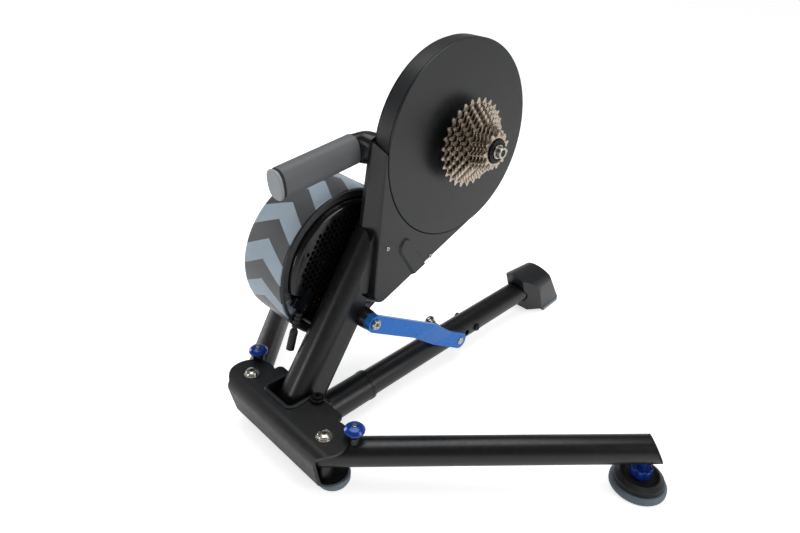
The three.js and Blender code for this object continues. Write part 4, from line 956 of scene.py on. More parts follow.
@dataclass
class CentreLeg(SubAssembly):
    """The tube that runs forwards, with its socket, holes and moulded foot."""

    x: float = 0.7
    radius: float = 17.5
    wall: float = 2.5
    z: float = 27.8
    z_at: float = 131.5
    z_foot: float = 37.7
    foot_at: float = 441.0
    end: float = 492.0
    socket_from: float = 60.3
    socket: float = 19.6
    hole: float = 4.6
    holes: tuple[float, ...] = (282.5, 296.0, 318.0, 340.0)
    rear: float = 478.0
    shoulder: float = 502.0
    front: float = 556.0
    nose_half: float = 16.5
    rear_half: float = 31.5
    front_half: float = 27.0
    rear_slope: float = 0.4
    front_slope: float = 0.66
    arch_rear: float = 34.0
    arch_front: float = 26.0
    spring: float = 44.0
    top: float = 73.0
    bottom: float = 6.0
    mouth_to: float = 479.0
    sole: float = 5.7
    sole_rear: float = 506.0

    def height(self, y: float) -> float:
        """The height of the tube's middle at a distance forwards."""
        return self.z + (self.z_foot - self.z) * (y - self.z_at) / (self.foot_at - self.z_at)

    def line(self) -> Matrix:
        """The plane square to the tube, at the end of its socket."""
        return place_along(
            (self.x, self.z_at, self.z), (0, self.foot_at - self.z_at, self.z_foot - self.z), (1, 0, 0)
        )

    def reach(self, y: float) -> float:
        """How far along the tube a distance forwards lies."""
        run = self.foot_at - self.z_at
        return (y - self.z_at) * math.hypot(run, self.z_foot - self.z) / run

    def tube(self) -> None:
        """Turns the tube and its socket, and drills the tube."""
        where = self.line()
        start, end = self.reach(self.socket_from), self.reach(self.end)
        inner = self.radius - self.wall
        leg = turned(
            "centre_leg", [(start, inner), (start, self.radius), (end, self.radius), (end, inner)], where,
            ROUND, True,
        )
        low, high = self.x - self.radius - OVERRUN, self.x + self.radius + OVERRUN
        for y in self.holes:
            bore(leg, place(Axis.X, y, self.height(y)), self.hole, low, high, ROUND_SMALL)
        Bench.soften(leg, 0.4, 2)
        self.fit(Bench.polish(leg), "base", POWDER, "centre_leg")

        gap = self.radius + SEAT
        socket = turned("leg_socket", rounded([
            (start, gap), (start, self.socket), (-5.5, self.socket, 0.5), (-5.5, self.socket + 0.7, 0.3),
            (-0.2, self.socket + 0.7, 0.5), (-0.2, gap, 0.3),
        ], 4), where, ROUND, True)
        self.fit(Bench.polish(socket), "base", POWDER, "leg_socket")

        at = self.holes[-1]
        side = place(Axis.X, at, self.height(at), self.x)
        bolt = turned("leg_cross_bolt", rounded([
            (-gap - 5, 0), (-gap - 5, 5, 0.5), (-gap, 5), (-gap, self.hole - SEAT), (gap, self.hole - SEAT),
            (gap, 6, 0.2), (gap + 1, 6, 0.3), (gap + 3, 4.6, 0.9), (gap + 3, 0),
        ], 4, False), side, ROUND_SMALL)
        hex_socket(bolt, side, 4, gap + 1.2, gap + 4)
        self.fit(Bench.polish(bolt), "base", DARK_STEEL, "leg_cross_bolt")

    def arch(self, half: float, y: float) -> list[Vector]:
        """The foot's loop square to the leg: straight sides under a round top."""
        angles = [-math.pi / 2 + math.pi * k / ROUND_SMALL for k in range(ROUND_SMALL + 1)]
        rise = self.top - self.spring
        crown = [(self.x + half * math.sin(angle), self.spring + rise * math.cos(angle)) for angle in angles]
        return [
            spot(x, y, z) for x, z in [(self.x - half, self.bottom), *crown, (self.x + half, self.bottom)]
        ]

    def plan(self, z: float, inset: float = 0.0) -> Outline:
        """The foot's outline from above at a height, with its leaning end faces."""
        back, front = self.rear_slope * (z - self.bottom), self.front - self.front_slope * (z - self.bottom)
        nose, rear_half, front_half = self.nose_half - inset, self.rear_half - inset, self.front_half - inset
        return [(self.x + x, y) for x, y in rounded([
            (-nose, self.rear + inset - back, 3),
            (nose, self.rear + inset - back, 3),
            (rear_half, self.shoulder - back, 12),
            (front_half, front - inset, 5),
            (-front_half, front - inset, 5),
            (-rear_half, self.shoulder - back, 12),
        ])]

    def foot(self) -> None:
        """Moulds the foot over the tube's end and lays its sole."""
        low, high = self.bottom - OVERRUN, self.top + OVERRUN
        rear = self.rear - self.rear_slope * (high - self.bottom) - OVERRUN
        foot = bridged("front_foot", *[[spot(x, y, z) for x, y in self.plan(z)] for z in (low, high)])
        hood = bridged(
            "hood", self.arch(self.arch_rear, rear), self.arch(self.arch_front, self.front + OVERRUN)
        )
        Bench.combine(foot, Join.KEEP, hood)
        Bench.soften(foot, 2.6, 5, 24)
        where = self.line()
        inside = rod("inside", where, self.radius + SEAT, self.reach(rear), self.reach(self.end) + SEAT)
        mouth = rod("mouth", where, self.radius + 1.6, self.reach(rear), self.reach(self.mouth_to))
        Bench.combine(foot, Join.CUT, inside, mouth)
        self.fit(Bench.polish(foot), "base", COVER, "front_foot")
        sole = slab("front_foot_sole", self.plan(self.bottom, 0.3), place(Axis.Z), 0, self.sole)
        side = self.arch_rear + OVERRUN
        clear = oblong(-side, rear, side, self.sole_rear)
        Bench.combine(sole, Join.CUT, slab("clear", clear, place(Axis.Z), -OVERRUN, self.sole + OVERRUN))
        Bench.soften(sole, 0.8, 3)
        self.fit(Bench.polish(sole), "base", FOOT_RUBBER, "front_foot_sole")

    def build(self) -> None:
        """Makes the leg and its foot."""
        self.tube()
        self.foot()


@dataclass
class SideLegs(SubAssembly):
    """The right folding leg with its pin, knob and foot, and its twin on the left."""

    pivot: float = LEG_PIVOT
    open_degrees: float = 48.1
    rise_degrees: float = 1.36
    z: float = 47.2
    radius: float = 16.7
    wall: float = 2.5
    start: float = -10.0
    length: float = 380.5
    end_slope: float = 0.48
    foot_at: float = 371.0
    cap: float = 2.5
    plug: float = 1.5
    pin_at: float = 34.0
    pin: float = 3.0
    collar: float = 7.5
    collar_top: float = 72.5
    knob_bottom: float = 74.5
    knob: float = 12.3
    knob_height: float = 12.0
    lobe: float = 30.1
    disc_top: float = 20.0
    dish: float = 22.0
    dish_depth: float = 4.0
    disc: float = 28.5
    rubber: float = 33.0
    rubber_height: float = 9.0
    sleeve: float = 12.0
    sleeve_bottom: float = 16.3
    sleeve_top: float = 64.7
    bolt_hole: float = 6.3
    stud_hole: float = 5.3

    def along(self, distance: float) -> tuple[float, float, float]:
        """A place on the leg's middle line, in the design's millimetres."""
        turn = math.radians(self.open_degrees)
        rise = distance * math.tan(math.radians(self.rise_degrees))
        return self.pivot + distance * math.cos(turn), distance * math.sin(turn), self.z + rise

    def line(self) -> Matrix:
        """The plane square to the leg, at its pivot."""
        start, far = Vector(self.along(0)), Vector(self.along(100))
        return place_along(start, far - start, (0, 0, 1))

    def pair(self, piece: Piece, part: str, body: str, finish: Finish, *nodes: str) -> None:
        """Fits a right-hand piece and its mirrored twin.

        Args:
            piece: the right-hand piece.
            part: the end of both names.
            body: the end of the two bodies' names.
            finish: the right-hand piece's surface.
            nodes: the ends of the names of the nodes that it stands for.
        """
        self.fit(piece, f"right_{body}", finish, *[f"right_{node}" for node in nodes])
        twin = Bench.mirrored(piece, f"left_{part}")
        self.fit(twin, f"left_{body}", finish, *[f"left_{node}" for node in nodes])

    def beyond(self, offset: float) -> Piece:
        """The solid past the leg's slanted end, or past a plane moved along from it."""
        turn = math.radians(self.open_degrees)
        side = place_along((self.pivot, 0, 0), (-math.sin(turn), math.cos(turn), 0), (0, 0, 1))
        middle = self.along(self.length)[2]
        low, high, far = middle - self.radius * 2, middle + self.radius * 2, self.length + self.radius * 4
        first, last = [self.length + offset - self.end_slope * (z - middle) for z in (low, high)]
        outline = [(low, first), (low, far), (high, far), (high, last)]
        return slab("beyond", outline, side, -self.radius * 2, self.radius * 2)

    def tube(self) -> None:
        """Turns the tube and adds its collar and pivot sleeve."""
        where = self.line()
        inner = self.radius - self.wall
        near, far = self.length - self.radius, self.length + self.radius
        tube = turned("right_leg", [
            (self.start, 0), (self.start, self.radius), (far, self.radius), (far, inner), (0, inner), (0, 0),
        ], where)
        Bench.combine(tube, Join.CUT, self.beyond(0))
        x, y, z = self.along(self.pin_at)
        collar = turned("collar", rounded([
            (z, 0), (z, self.collar), (self.collar_top, self.collar, 0.9),
            (self.collar_top, self.pin + SEAT, 0.3), (z + 4, self.pin + SEAT), (z + 4, 0),
        ], 4, False), place(Axis.Z, x, y), ROUND_SMALL)
        upright = place(Axis.Z, self.pivot, 0)
        low, high = self.sleeve_bottom, self.sleeve_top
        bore(collar, upright, self.lobe, z - 5, self.collar_top + 5)
        Bench.combine(tube, Join.ADD, collar, rod("sleeve", upright, self.sleeve, low, high, ROUND_SMALL))
        bore(tube, upright, self.bolt_hole, low - OVERRUN, high + OVERRUN, ROUND_SMALL)
        foot_x, foot_y, foot_z = self.along(self.foot_at)
        bore(tube, place(Axis.Z, foot_x, foot_y), self.stud_hole, foot_z - 25, foot_z, ROUND_SMALL)
        Bench.soften(tube, 0.45, 2)
        self.pair(Bench.polish(tube), "leg", "leg", POWDER, "leg")

        cap = Bench.combine(rod("right_leg_cap", where, self.radius, near, far), Join.KEEP, self.beyond(SEAT))
        plug = Bench.combine(rod("plug", where, inner - SEAT, near, far), Join.KEEP, self.beyond(-self.plug))
        Bench.combine(cap, Join.ADD, plug)
        Bench.combine(cap, Join.CUT, self.beyond(SEAT + self.cap))
        Bench.soften(cap, 0.9, 3)
        self.pair(Bench.polish(cap), "leg_cap", "leg", DARK_RUBBER, "leg_cap")

    def lock(self) -> None:
        """Turns the spring pin, its nut and its blue knob."""
        x, y, z = self.along(self.pin_at)
        where = place(Axis.Z, x, y)
        low = z + self.radius - 9
        pin = turned("right_spring_pin", rounded([
            (low, 0), (low, self.pin, 0.6), (self.knob_bottom - SEAT, self.pin), (self.knob_bottom - SEAT, 0),
        ], 4, False), where, ROUND_SMALL)
        self.pair(Bench.polish(pin), "spring_pin", "pin", STAINLESS, "spring_pin")
        nut = turned("right_pin_nut", rounded([
            (self.collar_top + 0.1, self.pin + 0.4), (self.collar_top + 0.1, 5.6, 0.3),
            (self.collar_top + 1.1, 5.6, 0.4), (self.collar_top + 1.7, 4.6, 0.2),
            (self.collar_top + 1.7, self.pin + 0.4),
        ], 4), where, ROUND_SMALL, True)
        self.pair(Bench.polish(nut), "pin_nut", "leg", STAINLESS)
        top = self.knob_bottom + self.knob_height
        knob = turned("right_knob", rounded([
            (self.knob_bottom, 0), (self.knob_bottom, 6.2, 1), (self.knob_bottom + 4, self.knob - 0.3, 1.5),
            (self.knob_bottom + 6.3, self.knob, 1.5), (top - 2.3, 9, 3.2), (top - 0.4, 3.2, 0.5),
            (top - 1.4, 2.9, 0.2), (top - 1.4, 0),
        ], 6, False), where)
        self.pair(Bench.polish(knob), "knob", "pin", BLUE_KNOB, "knob")
        screw = turned("right_knob_screw", rounded([
            (top - 1.3, 0), (top - 1.3, 2.6), (top - 0.4, 2.6, 0.5), (top, 1.8, 0.3), (top, 0),
        ], 4, False), where, ROUND_SMALL)
        hex_socket(screw, where, 1.9, top - 0.8, top + 1)
        self.pair(Bench.polish(screw), "knob_screw", "pin", STAINLESS)

    def foot(self) -> None:
        """Turns the levelling foot: fluted nut, dished disc and rubber ring."""
        x, y, z = self.along(self.foot_at)
        where = place(Axis.Z, x, y)
        stud_top = z - self.radius + 22
        seat = self.disc_top - self.dish_depth + SEAT
        nut = slab(
            "right_foot_nut", starred(13, 13.8, 2.4, 8), where, self.disc_top + SEAT, self.disc_top + 10.8
        )
        Bench.soften(nut, 0.7, 3, 35)
        neck = turned("neck", rounded([
            (seat, 0), (seat, 10, 0.4), (self.disc_top + 2, 10), (self.disc_top + 2, 5),
            (stud_top, 5, 0.5), (stud_top, 0),
        ], 4, False), where, ROUND_SMALL)
        Bench.combine(nut, Join.ADD, neck)
        self.pair(Bench.polish(nut), "foot_nut", "foot", BLUE_KNOB, "foot_nut")
        disc = turned("right_foot_disc", rounded([
            (self.rubber_height + SEAT, 0), (self.rubber_height + SEAT, self.disc, 0.4),
            (self.disc_top - 4.5, self.disc, 1.5), (self.disc_top, self.dish + 0.6, 0.8),
            (self.disc_top - self.dish_depth, self.dish - self.dish_depth, 1),
            (self.disc_top - self.dish_depth, 0),
        ], 5, False), where, ROUND_FINE)
        rubber = turned("right_foot_rubber", rounded([
            (0, 0), (0, self.rubber - 1.8, 0.8), (2, self.rubber, 1),
            (self.rubber_height - 2.4, self.rubber, 1.2), (self.rubber_height, 30.4, 0.6),
            (self.rubber_height, 0),
        ], 5, False), where, ROUND_FINE)
        for piece, part, maker in ((disc, "foot_disc", self.knurled), (rubber, "foot_rubber", self.ribbed)):
            Bench.polish(piece)
            twin = Bench.mirrored(piece, f"left_{part}")
            self.fit(piece, "right_foot", maker("right", spot(x, y, 0)), f"right_{part}")
            self.fit(twin, "left_foot", maker("left", spot(-x, y, 0)), f"left_{part}")

    def knurled(self, side: str, middle: Vector) -> Finish:
        """The dark disc's surface, with a diamond knurl round its edge."""
        return KnurlFinish(
            "dark_steel", f"knurled_disc_{side}", "#1a1b1d", "#212225", 0.4, metallic=0.3, relief=0.9,
            depth=0.7, middle=tuple(middle),
        )

    def ribbed(self, side: str, middle: Vector) -> Finish:
        """The rubber ring's surface, with a fine tread."""
        return KnurlFinish(
            "foot_rubber", f"foot_tread_{side}", "#55616a", "#5f6b73", 0.5, relief=0.35, depth=0.3,
            middle=tuple(middle), count=150, climb=500.0,
        )

    def build(self) -> None:
        """Makes both legs with their pins and feet."""
        self.tube()
        self.lock()
        self.foot()


@dataclass
class Housing(SubAssembly):
    """The belt housing: round cover, lower cover, frame plate, left cover and axle."""

    axle_y: float = AXLE_Y
    axle_z: float = AXLE_Z
    fly_y: float = FLYWHEEL_Y
    fly_z: float = FLYWHEEL_Z
    radius: float = 130.3
    face: float = 4.5
    back: float = -19.5
    wall: float = 3.0
    recess: float = 0.8
    arc_gap: float = 1.2
    hub: float = 24.0
    proud_front: float = 3.5
    proud_back: float = 7.1
    tip_front: float = 14.0
    tip_back: float = 26.0
    pocket_radius: float = 23.0
    pocket_grow: float = 15.0
    pocket_run: float = 60.0
    pocket_face: float = -4.0
    panel_rise: float = 2.5
    plate_thick: float = 5.0
    plate: float = 128.0
    plate_proud: float = 6.0
    plate_tip: float = 25.0
    shaft_hole: float = 10.3
    left_cover: float = 95.0
    axle: float = 10.0
    axle_left: float = -64.7
    axle_right: float = 60.0
    shoulder: float = -32.4
    tip_place_front: tuple[float, float] = (18.5, -26.5)
    tip_place_back: tuple[float, float] = (14.5, -19.5)
    screw_places: tuple[tuple[str, float, float], ...] = (
        ("cover_screw_rear", -124.4, -118.2), ("cover_screw_front", -43.4, -156.2),
    )
    panel_corner: float = 2.5
    panel_foot: tuple[tuple[float, float], ...] = (
        (187.5, 232.3), (179.6, 230.3), (173.1, 222.5), (173.8, 212.2), (186, 194.8), (204.4, 166.3),
        (233.5, 172.9), (204, 211.9), (193.2, 227.6),
    )
    panel_crest: tuple[tuple[float, float], ...] = (
        (186.2, 229.2), (182.7, 227.5), (177.9, 220.5), (178.4, 213.1), (190.8, 195.6), (209.5, 168),
        (232, 170.5), (202.4, 210.7), (191.9, 225.8),
    )

    def wedge(
        self, proud: float, tip_place: tuple[float, float], tip: float, offset: float, past: float = 0.0
    ) -> Outline:
        """The lower cover's outline: two straight sides from the round cover to a rounded tip.

        Args:
            proud: how far the rear side stands outside the round cover.
            tip_place: the tip's place from the flywheel's axis, forwards and upwards.
            tip: the tip's radius.
            offset: how far the outline is grown.
            past: how far the sides run on past the round cover.

        Returns:
            The outline's points.
        """
        middle_y, middle_z = self.fly_y + tip_place[0], self.fly_z + tip_place[1]
        away = math.atan2(self.axle_z - middle_z, self.axle_y - middle_y)
        distance = math.hypot(self.axle_z - middle_z, self.axle_y - middle_y)
        rear = away + math.acos((tip - self.radius - proud) / distance)
        lower = away + FULL_TURN - math.acos((tip - self.radius) / distance)

        def corner(angle: float, grown: float, side: int) -> tuple[float, float]:
            """A point where a side leaves the round cover."""
            out = grown + offset
            return (
                self.axle_y + out * math.cos(angle) - side * past * math.sin(angle),
                self.axle_z + out * math.sin(angle) + side * past * math.cos(angle),
            )

        return [
            corner(rear, self.radius + proud, -1),
            *arc(middle_y, middle_z, tip + offset, rear, lower, 28),
            corner(lower, self.radius, 1),
            (self.axle_y + 2 * past * math.cos(away), self.axle_z + 2 * past * math.sin(away)),
        ]

    def wedge_front(self, offset: float, past: float = 0.0) -> Outline:
        """The lower cover's outline at its face."""
        return self.wedge(self.proud_front, self.tip_place_front, self.tip_front, offset, past)

    def wedge_back(self, offset: float, past: float = 0.0) -> Outline:
        """The lower cover's outline at its back."""
        return self.wedge(self.proud_back, self.tip_place_back, self.tip_back, offset, past)

    def tapered(self, name: str, offset: float, low: float, high: float, past: float = 0.0) -> Piece:
        """A solid that narrows from the lower cover's back outline to its face outline."""
        back = loop(place(Axis.X), self.wedge_back(offset, past), low)
        return bridged(name, back, loop(place(Axis.X), self.wedge_front(offset, past), high))

    def pocket(self, name: str, offset: float, low: float, high: float) -> Piece:
        """The bulge of the housing round the small pulley."""
        away = math.atan2(self.axle_z - self.fly_z, self.axle_y - self.fly_y)
        far = (self.fly_y + self.pocket_run * math.cos(away), self.fly_z + self.pocket_run * math.sin(away))
        outline = strap(
            (self.fly_y, self.fly_z, self.pocket_radius + offset),
            (*far, self.pocket_radius + self.pocket_grow + offset), ROUND_SMALL,
        )
        return slab(name, outline, place(Axis.X), low, high)

    def round_cover(self) -> None:
        """Turns the round cover, grooved where its face meets its rim, and clears it for the lower one."""
        where = place(Axis.X, self.axle_y, self.axle_z)
        inside = self.face - self.wall
        cover = turned("disc_cover", rounded([
            (inside, self.hub), (self.face, self.hub, 0.8),
            (self.face, self.radius, 0.9), (self.face - 2.6, self.radius, 0.15),
            (self.face - 2.6, self.radius - 1, 0.1), (self.face - 3.6, self.radius - 1, 0.1),
            (self.face - 3.6, self.radius, 0.3), (self.back, self.radius, 0.5),
            (self.back, self.radius - self.wall), (inside, self.radius - self.wall),
        ], 4), where, ROUND_LARGE, True)
        Bench.combine(cover, Join.CUT, self.tapered("clear", SEAT * 2, self.back - OVERRUN, inside - SEAT))
        self.fit(Bench.polish(cover), "body", COVER, "disc_cover")

    def lower_cover(self) -> None:
        """Builds the hollow lower cover with its bulge, arc gap and raised panel."""
        low_face = self.face - self.recess
        cover = self.tapered("lower_cover", 0, self.back, low_face)
        Bench.soften(cover, 1.3, 3, 30)
        Bench.combine(cover, Join.ADD, self.pocket("bulge", 0, self.back, self.pocket_face))
        inner = self.tapered("inner", -self.wall, self.back - OVERRUN, low_face - self.wall, self.wall * 3)
        hollow = self.pocket("hollow", -self.wall, self.back - OVERRUN, self.pocket_face - self.wall)
        disc = rod(
            "disc", place(Axis.X, self.axle_y, self.axle_z), self.radius + self.arc_gap,
            self.back - OVERRUN, self.face + OVERRUN, ROUND_LARGE,
        )
        Bench.combine(cover, Join.CUT, inner, hollow, disc)
        side = place(Axis.X)
        levels = ((self.panel_foot, low_face - 1), (self.panel_crest, low_face + self.panel_rise))
        panel = bridged("panel", *[
            loop(side, rounded([(*point, self.panel_corner) for point in corners], 4), x)
            for corners, x in levels
        ])
        face = slab("face", self.wedge_front(-0.1), side, low_face - OVERRUN, low_face + OVERRUN * 2)
        Bench.combine(panel, Join.KEEP, face)
        Bench.soften(panel, 0.5, 3, 24)
        Bench.combine(cover, Join.ADD, panel)
        self.fit(Bench.polish(cover), "body", COVER, "lower_cover")

    def screws(self) -> None:
        """Turns the two small screws of the lower cover."""
        low_face = self.face - self.recess
        for name, y, z in self.screw_places:
            where = place(Axis.X, self.axle_y + y, self.axle_z + z)
            screw = turned(name, rounded([
                (low_face - 3.2, 0), (low_face - 3.2, 1.6), (low_face + 0.1, 1.6),
                (low_face + 0.1, 3.2, 0.3), (low_face + 1.3, 2.6, 0.5), (low_face + 1.3, 0),
            ], 4, False), where, ROUND_SMALL)
            hex_socket(screw, where, 2.2, low_face + 0.4, low_face + 3)
            self.fit(Bench.polish(screw), "body", STAINLESS, name)

    def back_plate(self) -> None:
        """Cuts the frame plate behind the covers and turns the left cover."""
        right = self.back - SEAT
        left = right - self.plate_thick
        hub = place(Axis.X, self.axle_y, self.axle_z)
        plate = rod("frame_plate", hub, self.plate, left, right, ROUND_LARGE)
        tail = self.wedge(self.plate_proud, self.tip_place_back, self.plate_tip, 0)
        Bench.combine(plate, Join.ADD, slab("tail", tail, place(Axis.X), left, right))
        shaft = place(Axis.X, self.fly_y, self.fly_z)
        for where, radius in ((hub, self.axle + SEAT), (shaft, self.shaft_hole)):
            bore(plate, where, radius, left - OVERRUN, right + OVERRUN)
        Bench.soften(plate, 0.8, 2)
        self.fit(Bench.polish(plate), "body", POWDER, "frame_plate")
        side = left - SEAT
        cover = turned("left_cover", rounded([
            (side, self.axle + SEAT), (side, self.left_cover, 0.6), (side - 3, self.left_cover - 1.6, 2),
            (side - 3.6, 84, 1), (side - 5, 82, 1), (side - 7, 36, 6), (side - 7, self.axle + SEAT),
        ], 5), hub, ROUND * 2, True)
        self.fit(Bench.polish(cover), "body", COVER, "left_cover")

    def shaft(self) -> None:
        """Turns the axle with its left spacer, and the stepped end cap."""
        hub = place(Axis.X, self.axle_y, self.axle_z)
        left, shoulder, right = self.axle_left, self.shoulder, self.axle_right
        axle = turned("axle", rounded([
            (left, 0), (left, 4), (left + 6.7, 4), (left + 6.7, 5.5), (left, 5.5, 0.4), (left, 14, 0.8),
            (shoulder - 4, 14, 0.4), (shoulder - 4, 18, 0.6), (shoulder, 18, 0.6),
            (shoulder, self.axle), (right, self.axle), (right, 0),
        ], 4, False), hub)
        self.fit(Bench.polish(axle), "body", DARK_STEEL, "axle")
        cap = turned("axle_end_cap", rounded([
            (right + 0.3, 0), (right + 0.3, 9.5, 0.3), (right + 3.6, 9.5, 0.6), (right + 4.3, 8.9, 0.3),
            (right + 4.3, 7.5, 0.3), (right + 10.7, 7.5, 0.8), (right + 10.7, 4.3, 0.5),
            (right + 4, 4, 0.2), (right + 4, 0),
        ], 4, False), hub)
        self.fit(Bench.polish(cap), "body", STAINLESS, "axle_end_cap")

    def build(self) -> None:
        """Makes the covers, the plate and the axle."""
        self.round_cover()
        self.lower_cover()
        self.screws()
        self.back_plate()
        self.shaft()


@dataclass
class Post(SubAssembly):
    """The oval post with its lug and the stub that carries the link."""

    housing: Housing = field(default_factory=Housing)
    left: float = -38.0
    right: float = 6.0
    depth: float = 57.0
    corner: float = 19.6
    pivot_y: float = POST_Y
    pivot_z: float = POST_Z
    lean_degrees: float = 58.0
    axis_back: float = 0.5
    lug: float = 20.5
    top: float = 243.0
    toe_forward: float = 23.0
    toe_rise: float = 16.0
    gap: float = 0.8
    link_y: float = LINK_Y
    link_z: float = LINK_Z
    barrel_left: float = LINK_BARREL
    bearing: float = 20.0
    pivot_hole: float = 6.3
    screw_hole: float = 5.3
    screw_head: float = 32.0

    def build(self) -> None:
        """Extrudes the post, trims it round the housing and its pivot, and adds the stub."""
        lean = math.radians(self.lean_degrees)
        where = place_along(
            ((self.left + self.right) / 2, self.pivot_y + self.axis_back, self.pivot_z),
            (0, math.cos(lean), math.sin(lean)), (1, 0, 0),
        )
        half_u, half_v = (self.right - self.left) / 2, self.depth / 2
        post = slab("post", oblong(-half_u, -half_v, half_u, half_v, self.corner, 12), where, 0, self.top)
        reach = self.lug * 4
        before, past = self.left - OVERRUN, self.right + OVERRUN
        flat, side = place(Axis.Z), place(Axis.X)
        low = oblong(before, self.pivot_y - reach, past, self.pivot_y + reach)
        toe = oblong(before, self.pivot_y + self.toe_forward, past, self.pivot_y + reach)
        Bench.combine(post, Join.CUT, slab("low", low, flat, self.pivot_z - reach, self.pivot_z))
        Bench.combine(post, Join.CUT, slab("toe", toe, flat, 0, self.pivot_z + self.toe_rise))
        pivot = place(Axis.X, self.pivot_y, self.pivot_z)
        stub = place(Axis.X, self.link_y, self.link_z)
        Bench.combine(post, Join.ADD, rod("lug", pivot, self.lug, self.left + 1, self.right - 1))
        Bench.combine(post, Join.ADD, turned("stub", rounded([
            (self.right - 8, 0), (self.right - 8, 13.4), (self.right + 5, 12.6, 4),
            (self.barrel_left - SEAT, 11.8, 0.6), (self.barrel_left - SEAT, 0),
        ], 5, False), stub))
        housing = self.housing
        notch = housing.back - SEAT - housing.plate_thick - SEAT
        hub = place(Axis.X, housing.axle_y, housing.axle_z)
        fly = place(Axis.X, housing.fly_y, housing.fly_z)
        Bench.combine(
            post, Join.CUT,
            slab("tail", housing.wedge_back(self.gap + SEAT), side, notch, past),
            rod("disc", hub, housing.radius + self.gap, notch, past, ROUND_LARGE),
            housing.pocket("bulge", self.gap, notch, past),
        )
        bore(post, fly, self.bearing + SEAT, before, notch + OVERRUN)
        bore(post, pivot, self.pivot_hole, before, past, ROUND_SMALL)
        bore(post, stub, self.screw_hole, self.right, self.barrel_left + OVERRUN, ROUND_SMALL)
        Bench.soften(post, 0.7, 2, 35)
        self.fit(Bench.polish(post), "body", POWDER, "post")

        head = self.screw_head
        screw = turned("link_screw", rounded([
            (self.right + SEAT, 0), (self.right + SEAT, 5), (head - 3.2, 5), (head - 3.2, 7, 0.2),
            (head - 1.6, 7, 0.6), (head, 5.6, 0.8), (head, 3.9, 0.3), (head - 0.8, 3.6, 0.2),
            (head - 0.8, 0),
        ], 4, False), stub)
        hex_socket(screw, stub, 5, head - 3, head + 1)
        self.fit(Bench.polish(screw), "body", STAINLESS, "link_screw")


